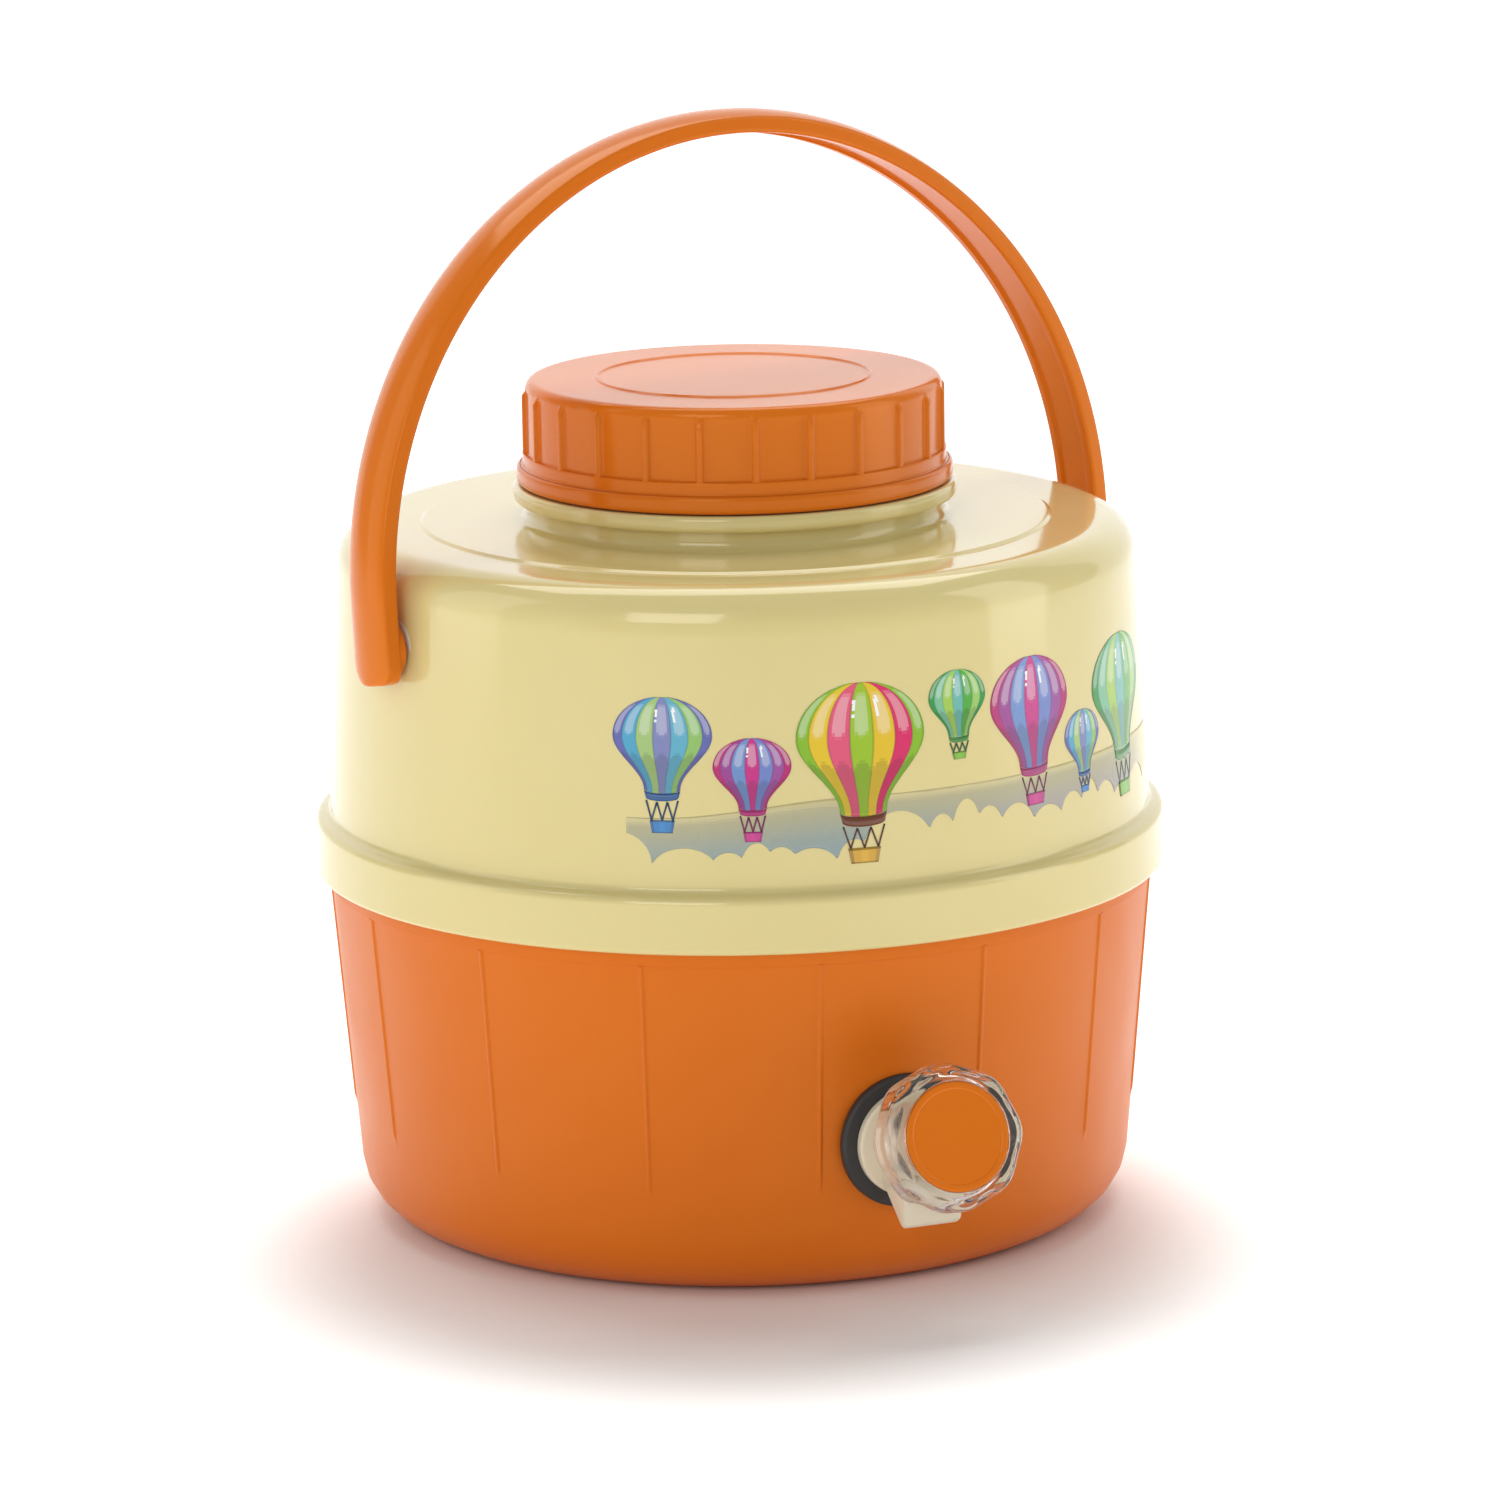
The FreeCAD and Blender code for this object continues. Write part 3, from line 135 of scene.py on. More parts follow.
nitrile_rubber = plastic("black_nitrile_rubber", "2e2e2e", "343434", 0.5, 0.4, 0.01)
silicone = plastic("moulded_silicone", "dedbd2", "d6d2c6", 0.35, 0.8, 0.005, 0.0, 0.3)

# %% [markdown]
# ## Clear plastic and steel
#
# The tap's knob is clear polystyrene from a polished mould: light goes through it and bends
# at every wall, so it needs a true hollow shape as well as the right refraction. The screw
# and the push nuts are zinc plated steel, bright but slightly dull.

# %% Clear polystyrene and zinc plated steel
clear_polystyrene = bpy.data.materials.new("clear_moulded_polystyrene")
clear_polystyrene.use_nodes = True
tree = clear_polystyrene.node_tree
skin = tree.nodes["Principled BSDF"]
skin.inputs["Base Color"].default_value = linear("fbfbfa")
skin.inputs["Transmission Weight"].default_value = 1.0
skin.inputs["IOR"].default_value = 1.5
skin.inputs["Roughness"].default_value = 0.03
place = node(tree, "ShaderNodeTexCoord").outputs["Object"]
ripple = node(tree, "ShaderNodeTexNoise", values={"Scale": 1 / (6 * MM), "Detail": 1.0},
              links={"Vector": place})
bump = node(tree, "ShaderNodeBump", values={"Strength": 1.0, "Distance": 0.02 * MM},
            links={"Height": ripple.outputs["Fac"]})
tree.links.new(bump.outputs["Normal"], skin.inputs["Normal"])

plated_steel = bpy.data.materials.new("zinc_plated_steel")
plated_steel.use_nodes = True
tree = plated_steel.node_tree
skin = tree.nodes["Principled BSDF"]
skin.inputs["Base Color"].default_value = linear("c2c4c6")
skin.inputs["Metallic"].default_value = 1.0
place = node(tree, "ShaderNodeTexCoord").outputs["Object"]
spangle = node(tree, "ShaderNodeTexNoise", values={"Scale": 1 / (1.5 * MM), "Detail": 4.0},
               links={"Vector": place})
dull = node(tree, "ShaderNodeMapRange", values={"To Min": 0.25, "To Max": 0.45},
            links={"Value": spangle.outputs["Fac"]})
tree.links.new(dull.outputs["Result"], skin.inputs["Roughness"])
print(len(bpy.data.materials), "materials")

# %% [markdown]
# ## Surfaces from grids
#
# A grid of points becomes a surface when each square of four neighbours becomes a face. A
# closed ring joins its last row to its first. If the volume inside comes out negative, the
# faces point inwards, so they are turned over.

# %% Grids to meshes
def squares(shape, wrap):
    """Corner numbers of a grid's squares: a point, the next along, the one across from that, the one across."""
    rows, columns = shape
    i, j = np.meshgrid(np.arange(rows if wrap[0] else rows - 1),
                       np.arange(columns if wrap[1] else columns - 1), indexing="ij")
    k, l = (i + 1) % rows, (j + 1) % columns
    return np.stack([i * columns + j, k * columns + j, k * columns + l, i * columns + l], -1).reshape(-1, 4)


def volume(points, faces):
    """Six times the volume that faces close: the sum of each triangle's corner product p . (q x r)."""
    a, b, c, d = (points[faces[:, i]] for i in range(4))
    return (a * np.cross(b, c)).sum() + (a * np.cross(c, d)).sum()


def grid_mesh(name, grids):
    """One mesh from grids of (points in mm, (wraps along, wraps across)), facing outwards, poles closed."""
    points, faces, start = [], [], 0
    for grid, wrap in grids:
        flat = np.asarray(grid, float).reshape(-1, 3) * MM
        quads = squares(grid.shape[:2], wrap)
        if volume(flat, quads) < 0:
            quads = quads[:, ::-1]
        points.append(flat)
        faces.append(quads + start)
        start += len(flat)
    mesh = bpy.data.meshes.new(name)
    mesh.from_pydata(np.concatenate(points).tolist(), [], np.concatenate(faces).tolist())
    sheet = bmesh.new()
    sheet.from_mesh(mesh)
    bmesh.ops.remove_doubles(sheet, verts=sheet.verts, dist=0.0005 * MM)
    sheet.to_mesh(mesh)
    sheet.free()
    return mesh


def shown(name, data):
    """A new object with the given mesh, light or camera, linked into the scene."""
    made = bpy.data.objects.new(name, data)
    bpy.context.scene.collection.objects.link(made)
    return made


def make_piece(name, grids, body, material, hides=()):
    """A smooth piece from grids, riding on a body, in a colour slot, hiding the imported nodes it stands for."""
    mesh = grid_mesh(name, grids)
    mesh.shade_smooth()
    mesh.materials.append(material)
    piece = shown(name, mesh)
    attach(piece, body)
    if hides:
        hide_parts(*hides)
    print(name, len(mesh.polygons), "faces")
    return piece

# %% [markdown]
# ## Outlines with rounded corners
#
# No moulded edge is sharp. An outline is written as corner points with a radius each, and
# every corner is cut by an arc that touches both of its sides. A spare point just off each
# end of an arc keeps the flat beside it flat when the shading is smoothed.

# %% Outlines, turning and placing
def rounded(corners, steps=6):
    """A closed outline from corners (x, y, radius): arcs centred radius / sin(half angle) up the bisector."""
    outline = []
    for before, (x, y, radius), after in zip(corners[-1:] + corners[:-1], corners, corners[1:] + corners[:1]):
        here = np.array([x, y])
        back, ahead = (np.array(side[:2]) - here for side in (before, after))
        back_length, ahead_length = np.linalg.norm(back), np.linalg.norm(ahead)
        back, ahead = back / back_length, ahead / ahead_length
        half = math.acos(np.clip(back @ ahead, -1, 1)) / 2
        if radius == 0:
            outline.append(here[None])
            continue
        reach = radius / math.tan(half)
        centre = here + (back + ahead) / np.linalg.norm(back + ahead) * radius / math.sin(half)
        first, last = here + back * reach - centre, here + ahead * reach - centre
        turn = math.pi - 2 * half
        t = np.linspace(0, 1, steps + 1)[:, None]
        arc = centre + (first * np.sin((1 - t) * turn) + last * np.sin(t * turn)) / math.sin(turn)
        spare = 0.3 * radius + 0.05
        outline += [here[None] + back * min(reach + spare, max(reach, back_length * 0.5)), arc,
                    here[None] + ahead * min(reach + spare, max(reach, ahead_length * 0.5))]
    return np.concatenate(outline)


def spaced(outline, longest, closed=True):
    """The same outline with extra points, so that no step along it is longer than asked."""
    ends = np.roll(outline, -1, 0) if closed else outline[1:]
    starts = outline if closed else outline[:-1]
    counts = np.maximum(1, np.ceil(np.linalg.norm(ends - starts, axis=1) / longest)).astype(int)
    which = np.repeat(np.arange(len(starts)), counts)
    firsts = np.repeat(np.cumsum(counts) - counts, counts)
    along = (np.arange(counts.sum()) - firsts) / np.repeat(counts, counts)
    dense = starts[which] + (ends - starts)[which] * along[:, None]
    return dense if closed else np.concatenate([dense, outline[-1:]])


def turned(outline, angles, shape=None):
    """An outline carried round Z: (r, z) at angle a goes to (r sin a, -r cos a, z), after shape's change."""
    a = np.radians(angles)[:, None]
    r, z = (np.broadcast_to(outline[:, i], (len(angles), len(outline))) for i in (0, 1))
    if shape:
        r, z = shape(a, r, z)
    return np.stack([r * np.sin(a), -r * np.cos(a), z + 0 * a], -1)


def placed(grid, origin, across, along):
    """Carry a grid to a frame whose first axis is across and whose third is along."""
    along = np.array(along) / np.linalg.norm(along)
    across = np.array(across) - along * (np.array(across) @ along)
    across /= np.linalg.norm(across)
    return np.array(origin) + grid @ np.stack([across, np.cross(along, across), along])


def smooth(x, low, high):
    """An S-shaped step from 0 at low to 1 at high: 3 t^2 - 2 t^3."""
    t = np.clip((x - low) / (high - low), 0, 1)
    return t * t * (3 - 2 * t)


RING = np.arange(0, 360, 1.25)
BOTH, ROUND_ONLY = (True, True), (True, False)

# %% [markdown]
# ## The cream upper shell
#
# The belt, wall, rounded shoulder, deck and neck are one moulding, the same all the way
# round, so a turned outline is the natural way to make it. The low step in the deck and
# the fillet round the neck catch thin lines of light.

# %% Upper shell
upper_outline = rounded([
    (103.6, 88.15, 0.2), (107.0, 88.15, 1.2), (106.5, 101.7, 1.9), (103.05, 102.9, 1.6),
    (99.2, 174.9, 9.0), (78.9, 174.9, 0.5), (77.9, 175.5, 0.5), (52.0, 175.5, 2.4), (52.0, 180.4, 0.2),
    (49.6, 180.4, 0.2), (49.6, 172.5, 1.0), (96.8, 172.5, 6.6), (100.7, 99.25, 0.3), (103.6, 99.25, 0.3),
], steps=8)
make_piece("upper_shell_skin", [(turned(spaced(upper_outline, 4.0), RING), BOTH)], "jug",
           cream_polypropylene, ["upper_shell"])

# %% [markdown]
# ## The orange lower shell
#
# Fifteen fine ribs run up the base. Each is a small bump of the radius at its own angle, so
# the grid needs columns close together there and can be open in between. Round the tap the
# wall is pressed out to a flat seat: wherever the wall lies behind the seat's plane, it is
# moved up to it, fading out at the seat's edge.

# %% Lower shell
TAP_AT = math.degrees(math.atan2(joints["tap_turn"]["pos_m"][0], -joints["tap_turn"]["pos_m"][1]))
RIB_STEP = 24.0
near_rib = np.array([-0.6, -0.36, -0.27, -0.18, -0.09, 0, 0.09, 0.18, 0.27, 0.36, 0.6])
rib_period = np.concatenate([near_rib, np.arange(1.8, 23.2, 1.6)])
rib_columns = (TAP_AT + RIB_STEP / 2 + RIB_STEP * np.arange(15)[:, None] + rib_period).ravel()
seat_columns = TAP_AT + np.arange(-10.8, 10.9, 0.6)
plain = rib_columns[np.abs((rib_columns - TAP_AT + 180) % 360 - 180) > 11]
lower_columns = np.sort(np.concatenate([plain % 360, seat_columns % 360]))
SEAT_PLANE, SEAT_HEIGHT = 99.6, 38.8
WALL_SLOPE = (103.05 - 96.1) / 84.6


def lower_shape(a, r, z):
    """Radius plus a rib, 0.45 (1 - (x / 0.62)^2) tall across it, and the flat seat's r = plane / cos(angle)."""
    x = np.radians((np.degrees(a) - TAP_AT) % RIB_STEP - RIB_STEP / 2) * r
    outside = smooth(r + (84.6 - z) * WALL_SLOPE, 101.2, 102.6)
    rib = 0.45 * np.clip(1 - (x / 0.62) ** 2, 0, 1) * smooth(z, 26.5, 29.5) * (z < 84.7)
    turn = a - math.radians(TAP_AT)
    flat = SEAT_PLANE / np.maximum(np.cos(turn), 0.5)
    away = np.hypot(np.tan(np.clip(turn, -1, 1)) * SEAT_PLANE, z - SEAT_HEIGHT)
    seat = (flat - r) * (1 - smooth(away, 16.2, 18.0)) * (np.cos(turn) > 0.9)
    return r + outside * (rib + seat), z


seat_rows = [(96.1 + WALL_SLOPE * z, z, 0) for z in np.arange(20.0, 59.0, 1.3)]
lower_outline = rounded([
    (8.0, 2.5, 0.2), (68.0, 2.5, 1.0), (70.5, 0.0, 1.0), (96.1, 0.0, 15.0), *seat_rows, (103.05, 84.6, 0.15),
    (103.6, 84.6, 0.15), (103.6, 87.9, 0.12), (103.35, 87.9, 0.1), (103.35, 93.0, 0.1), (103.95, 94.0, 0.3),
    (103.35, 95.0, 0.1), (103.35, 99.0, 0.4), (101.15, 99.0, 0.4), (100.85, 84.6, 0.5), (94.3, 4.7, 12.8),
    (8.0, 4.7, 0.2),
], steps=5)
lower_grid = turned(spaced(lower_outline, 4.0), lower_columns, lower_shape)
make_piece("lower_shell_skin", [(lower_grid, BOTH)], "jug", satin_polypropylene, ["lower_shell"])

# %% [markdown]
# ## Collar, lid and its grip ribs
#
# The lid is a screw cap with twenty-four grip ribs above a thicker band and a flange. Like
# the base's ribs, they are bumps of the radius, with rounded tops that fade out below the
# lid's edge. The thin raised ring on top is part of the outline.

# %% Neck collar
collar_outline = rounded([(47.65, 176.4, 0.3), (49.35, 176.4, 0.3), (49.35, 180.4, 0.2), (55.3, 180.4, 1.2),
                          (55.3, 184.5, 1.2), (47.65, 184.5, 0.3)])
make_piece("neck_collar_skin", [(turned(collar_outline, RING), BOTH)], "jug",
           cream_polypropylene, ["neck_collar"])

# %% Lid
LID_TURN = 1.7
grip = np.array([-1.7, -1.38, -1.2, -1.02, -0.84, -0.6, -0.3, 0, 0.3, 0.6, 0.84, 1.02, 1.2, 1.38, 1.7])
grip_period = np.concatenate([grip, np.arange(3.4, 12.8, 2.1)])
lid_columns = (LID_TURN + 15.0 * np.arange(24)[:, None] + grip_period).ravel()


def lid_shape(a, r, z):
    """Radius plus a rib 1.06 tall whose sides are S-shaped steps across it, ending in a step of height."""
    x = np.radians((np.degrees(a) - LID_TURN + 7.5) % 15.0 - 7.5) * 51.8
    rib = 1.06 * (1 - smooth(np.abs(x), 0.45, 1.25)) * (1 - smooth(z, 206.6, 208.5)) * smooth(r, 50.9, 51.7)
    return np.where((z > 192.4) & (r < 52.8), r + rib * (52.9 - r) / 1.1, r), z


lid_outline = rounded([
    (0.0, 210.4, 0), (33.3, 210.4, 0.3), (33.95, 210.85, 0.3), (34.6, 210.4, 0.3), (51.8, 210.4, 2.2),
    (51.8, 207.8, 0), (51.8, 207.3, 0), (51.8, 206.8, 0), (51.8, 192.5, 0.5), (52.86, 192.5, 0.4),
    (52.86, 189.2, 0.5), (54.4, 189.2, 1.0), (54.4, 184.75, 1.3),
    (49.5, 184.75, 0.4), (49.5, 208.2, 1.0), (0.0, 208.2, 0),
])
lid_outline = spaced(lid_outline, 1.8, closed=False)
make_piece("lid_cap_skin", [(turned(lid_outline, lid_columns, lid_shape), ROUND_ONLY)],
           "lid", gloss_polypropylene, ["lid_cap"])

# %% [markdown]
# ## The bail handle
#
# The handle is one strap bent over in an arch: two short straight legs and a half circle
# between them. A crowned section, with a shallow channel inside, is carried along that
# path. Near each end the section narrows, which rounds off the corners of the strap. The
# hubs and pins are turned about the pivot axis. On the pins it rests a little to one side
# and leans back.

# %% Bail section and path
ARCH, LEG_END, PIVOT = 165.0, 145.5, 154.0
crown = np.radians(np.linspace(-23, 23, 9))
crown_points = [(94 + 17 * math.cos(p), 17 * math.sin(p), 0) for p in crown]
section = rounded([(105.0, -5.4, 0.4), (105.0, -8.0, 0.9), (109.0, -8.0, 0.9), *crown_points,
                   (109.0, 8.0, 0.9), (105.0, 8.0, 0.9), (105.0, 5.4, 0.4), (105.8, 4.6, 0.4),
                   (105.8, -4.6, 0.4)], steps=5)
from_end = np.array([0, 0, 0.12, 0.3, 0.6, 1.0, 1.6, 2.4, 3.4, 4.6, 6.0, 8.0, 11.0, 15.0])
thin = np.array([0, 0.9, 0.955, 0.98, 1, 1, 1, 1, 1, 1, 1, 1, 1, 1])
narrow = thin * (8 - 4.5 + np.sqrt(4.5 ** 2 - (4.5 - np.minimum(from_end, 4.5)) ** 2)) / 8
arch_turn = np.linspace(0, 180, 121)
ones = np.ones(len(arch_turn))


def strap():
    """Section points (out, across) go to (out cos t, across, centre + out sin t); on the legs t is 0 or 180."""
    drop = np.concatenate([ARCH - LEG_END - from_end, 0 * ones, (ARCH - LEG_END - from_end)[::-1]])[:, None]
    t = np.radians(np.concatenate([0 * from_end, arch_turn, 0 * from_end + 180]))[:, None]
    thick = np.concatenate([thin, ones, thin[::-1]])[:, None]
    wide = np.concatenate([narrow, ones, narrow[::-1]])[:, None]
    out = 107.6 + (section[:, 0] - 107.6) * thick
    return np.stack([out * np.cos(t), section[:, 1] * wide, ARCH + out * np.sin(t) - drop], -1)


def hung(grid):
    """Lean back 4.5 degrees about the pivot axis, then slide 2 mm along it."""
    lean = math.radians(4.5)
    x, y, z = grid[..., 0], grid[..., 1], grid[..., 2] - PIVOT
    return np.stack([x + 2.0, y * math.cos(lean) + z * math.sin(lean),
                     z * math.cos(lean) - y * math.sin(lean) + PIVOT], -1)


# %% Bail handle
hub = rounded([(0, 103.13, 0), (7.6, 103.13, 0.7), (7.6, 107.6, 0.2), (0, 107.6, 0)])
pin = rounded([(0, 91.2, 0), (4.0, 91.2, 0.6), (4.0, 104.0, 0.2), (0, 104.0, 0)])
bail_grids = [(hung(strap()), (False, True))]
for side in (-1, 1):
    for outline in (hub, pin):
        round_part = placed(turned(outline, RING[::3]), (0, 0, PIVOT), (0, 0, 1), (side, 0, 0))
        bail_grids.append((hung(round_part), ROUND_ONLY))
make_piece("bail_handle_skin", bail_grids, "bail", gloss_polypropylene, ["bail_handle"])

# %% [markdown]
# ## The tap
#
# Behind the knob are a black gasket, a flange, a barrel that tilts up, and a blocky spout.
# The round ones are turned about their own axes and then placed. The spout is an outline
# carried across its width, drawn in a little at each side so that its edges are rounded.
# Its outlet and the barrel's bore are real holes, cut with a boolean, so that it looks
# right from below.

# %% Tap axes
tap_out = np.array([math.sin(math.radians(TAP_AT)), -math.cos(math.radians(TAP_AT)), 0.0])
barrel_axis = np.array(joints["tap_turn"]["axis"])
barrel_origin = np.array(joints["tap_turn"]["pos_m"]) / MM
DOWN = (0, 0, -1)


def about_tap(outline, count=96):
    """An outline turned about the horizontal axis through the middle of the tap's hole."""
    return placed(turned(outline, np.arange(0, 360, 360 / count)), (0, 0, SEAT_HEIGHT), DOWN, tap_out)


def about_barrel(outline, angles=None, shape=None):
    """An outline turned about the tilted axis of the barrel."""
    angles = np.arange(0, 360, 3.0) if angles is None else angles
    return placed(turned(outline, angles, shape), barrel_origin, DOWN, barrel_axis)


def cut(piece, cutters):
    """Take closed grids away from a piece with an exact boolean, and keep the result as its mesh."""
    tools = []
    for i, cutter in enumerate(cutters):
        tool = shown("cutter", grid_mesh("cutter", [cutter]))
        step = piece.modifiers.new("bore_%d" % i, "BOOLEAN")
        step.operation, step.solver, step.object = "DIFFERENCE", "EXACT", tool
        tools.append(tool)
    bpy.context.view_layer.update()
    done = bpy.data.meshes.new_from_object(piece.evaluated_get(bpy.context.evaluated_depsgraph_get()))
    piece.modifiers.clear()
    piece.data = done
    for tool in tools:
        bpy.data.meshes.remove(tool.data)
    print(piece.name, "cut to", len(done.polygons), "faces")


# %% Gasket, flange, barrel and spout
gasket = rounded([(7.8, 99.6, 0.2), (16.5, 99.6, 0.3), (16.5, 102.0, 1.0), (7.8, 102.0, 0.2)])
make_piece("tap_gasket_skin", [(about_tap(gasket), BOTH)], "jug", nitrile_rubber,
           ["tap_washer_outer"])
FACE = 104.4
flange = rounded([(0, 102.0, 0), (13.0, 102.0, 0.2), (13.0, FACE, 0.7), (0, FACE, 0)])
shank = rounded([(0, 70.4, 0), (7.8, 70.4, 0.5), (7.8, 102.5, 0.1), (0, 102.5, 0)])
barrel = rounded([(0, -1.5, 0), (9.2, -1.5, 0.3), (9.2, 16.9, 0.9), (6.5, 16.9, 0.4), (6.5, 2.0, 0.3),
                  (0, 2.0, 0)])
spout_side = rounded([(FACE - 0.6, 32.0, 0.3), (FACE + 1.2, 28.8, 0.8), (FACE + 11.2, 21.2, 0.7),
                      (FACE + 13.0, 22.4, 0.8), (FACE + 13.8, 34.2, 1.0), (FACE + 7.2, 38.8, 0.6),
                      (FACE - 0.6, 38.8, 0.3)])
across = np.array([-7.5, -7.5, -7.35, -7.1, -6.7, -6.0, 0, 6.0, 6.7, 7.1, 7.35, 7.5, 7.5])
drawn_in = np.array([0, 0.9, 0.94, 0.975, 0.995, 1, 1, 1, 0.995, 0.975, 0.94, 0.9, 0])
middle = spout_side.mean(0)
sides = middle + (spout_side - middle) * drawn_in[:, None, None]
sideways = np.cross(tap_out, (0, 0, 1))
spout = sides[..., :1] * tap_out + np.array([0, 0, 1]) * sides[..., 1:] + sideways * across[:, None, None]
outlet_axis = tap_out * (FACE + 7.2)
outlet = placed(turned(np.array([(0, 15.0), (3.2, 15.0), (3.2, 37.0), (0, 37.0)]), np.arange(0, 360, 7.5)),
                outlet_axis, tap_out, (0, 0, 1))
bore = about_barrel(np.array([(0, 2.0), (6.5, 2.0), (6.5, 30.0), (0, 30.0)]))
make_piece("tap_body_skin", [(about_tap(flange), ROUND_ONLY), (about_tap(shank, 48), ROUND_ONLY)],
           "jug", tap_polypropylene, ["tap_body"])
barrel_piece = make_piece("tap_barrel_skin", [(about_barrel(barrel), ROUND_ONLY)], "jug",
                          tap_polypropylene)
spout_piece = make_piece("tap_spout_skin", [(spout, (False, True))], "jug", tap_polypropylene)
cut(barrel_piece, [(outlet, ROUND_ONLY)])
cut(spout_piece, [(outlet, ROUND_ONLY), (bore, ROUND_ONLY)])
for piece in (barrel_piece, spout_piece):
    piece.data.set_sharp_from_angle(angle=math.radians(35))

# %% [markdown]
# ## The clear knob
#
# The knob is a hollow cup of clear plastic with a hub in the middle. Its rim has eight
# shallow flats between ridges: the radius dips by 0.7 mm between ridges 45 degrees apart.
# Light bends at every wall, so both sides of each wall are modelled. An orange disc is
# pressed into its face.

# %% Knob and disc
def knob_shape(a, r, z):
    """Outside the rim only, radius minus 0.35 (1 + cos 8 x), with x the angle from the middle of a flat."""
    x = np.degrees(a) % 45.0 - 22.5
    return r - 0.35 * (1 + np.cos(np.radians(8 * x))) * smooth(r, 15.2, 16.0), z


knob_outline = rounded([
    (4.05, 17.5, 0.2), (6.25, 17.5, 0.4), (6.25, 24.3, 0.5), (14.8, 24.3, 1.0), (14.8, 17.5, 0.4),
    (16.2, 17.5, 0.4), (17.8, 19.1, 0.9), (17.8, 28.9, 3.2), (13.25, 28.9, 0.3), (13.25, 26.5, 0.15),
    (3.05, 26.5, 0.15), (3.05, 24.45, 0.1), (1.55, 24.45, 0.1), (1.55, 23.4, 0.1), (4.05, 23.4, 0.1),
], steps=8)
knob_columns = np.arange(0, 360, 1.5)
make_piece("tap_knob_skin", [(about_barrel(spaced(knob_outline, 1.5), knob_columns, knob_shape), BOTH)],
           "valve", clear_polystyrene, ["tap_knob"])
disc_outline = rounded([(0, 26.5, 0), (13.2, 26.5, 0.2), (13.2, 28.9, 0.6), (11.6, 28.9, 0.3),
                        (11.3, 28.72, 0.3), (0, 28.72, 0)])
disc_grid = about_barrel(spaced(disc_outline, 1.5, closed=False), knob_columns)
make_piece("knob_disc_skin", [(disc_grid, ROUND_ONLY)], "valve", gloss_polypropylene,
           ["knob_insert"])

# %% [markdown]
# ## Finishes for the parts inside
#
# The parts that only show when the lid is off, or from underneath, are already the right
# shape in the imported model. They keep their meshes and get their real finishes.

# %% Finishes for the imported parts
finish_of = {
    "orange_base": satin_polypropylene, "orange_gloss": gloss_polypropylene,
    "cream_shell": cream_polypropylene, "white_liner": white_polyethylene, "foam": poured_foam,
    "silicone": silicone, "black_rubber": nitrile_rubber, "cream_tap": tap_polypropylene,
    "clear_knob": clear_polystyrene, "steel": plated_steel,
}
for part in frame["record"]["subparts"]:
    mesh = frame["nodes"][part["node"]].data
    for i in range(max(1, len(mesh.materials))):
        if mesh.materials:
            mesh.materials[i] = finish_of[part["material_slot"]]
        else:
            mesh.materials.append(finish_of[part["material_slot"]])
print("finished", len(frame["nodes"]), "packed parts")

# %% [markdown]
# ## The printed balloons
#
# The shell is decorated with a printed band: hot-air balloons over a strip of haze with
# clouds along its lower edge. Ink is a very thin film, so each motif is a grid of points
# laid on the shell's cone, a fraction of a millimetre proud, with a colour for each square.
# A balloon's panels follow lines of longitude on a ball: the point at longitude p lies across
# in step with p and sin p, so the grid follows the seams and the colours stay crisp.

# %% Laying ink on the shell
INK = np.array([linear(text)[:3] for text in (
    "6f74b4", "6cb2d2", "b2d08e", "8f95c4", "79bcd4", "9fca7c", "6f74b4",
    "bd2f7c", "a3559c", "839fd2", "cf4f93", "8394cf", "a562a6", "bd2f7c",
    "93c23e", "f0d038", "e9718c", "a6ca40", "efcd35", "df3f76", "93c23e",
    "3f9a50", "8fcaa8", "b2d670", "83c4ba", "5cb04c", "aad480", "3f9a50",
)]).reshape(4, 7, 3)
INK = 0.8 * np.clip(1.28 * INK - 0.28 * INK.mean(-1, keepdims=True), 0, 1)
TRIM = np.array([linear(text)[:3] for text in ("24568f", "a3246e", "6e3c22", "3f8436")])
BASKET = np.array([linear(text)[:3] for text in ("3a80bf", "c4378a", "d3a434", "7fb838")])
# place round the shell in degrees, top, skirt and basket foot in mm, full width in mm, colour set
BALLOONS = [(-44.4, 149.7, 127.4, 117.1, 24.1, 0), (-32.3, 139.9, 123.2, 115.0, 18.7, 1),
            (-17.3, 152.0, 120.9, 108.6, 32.2, 2), (-2.8, 152.6, 136.8, 131.0, 16.2, 3),
            (10.2, 152.8, 126.5, 116.5, 27.0, 1), (21.2, 136.5, 121.7, 116.1, 15.5, 0),
            (33.6, 151.4, 123.6, 111.0, 33.0, 3)]


def on_shell(turn, z, lift):
    """A point of the cone at an angle and height: radius 103.1 - 3.9 (z - 102.3) / 72.6, plus the lift."""
    turn, z = np.broadcast_arrays(np.radians(turn), z)
    r = 103.1 - 3.9 * (z - 102.3) / 72.6 + lift
    return np.stack([r * np.sin(turn), -r * np.cos(turn), z], -1)


def flat_patch(centre, x, z, colours, lift=0.10):
    """A patch given in mm across and up: x becomes an angle x / 101.5 about the shell's axis."""
    return on_shell(centre + np.degrees(x / 101.5), z, lift), colours


def strip(centre, start, end, wide, colour):
    """A straight ribbon from one (x, z) to another."""
    start, end = np.array(start), np.array(end)
    side = np.array([end[1] - start[1], start[0] - end[0]])
    side = side / np.linalg.norm(side) * wide / 2
    t = np.linspace(0, 1, 4)[:, None, None]
    line = start + (end - start) * t + np.stack([-side, side])
    return flat_patch(centre, line[..., 0], line[..., 1], np.broadcast_to(colour, (3, 1, 3)), 0.13)


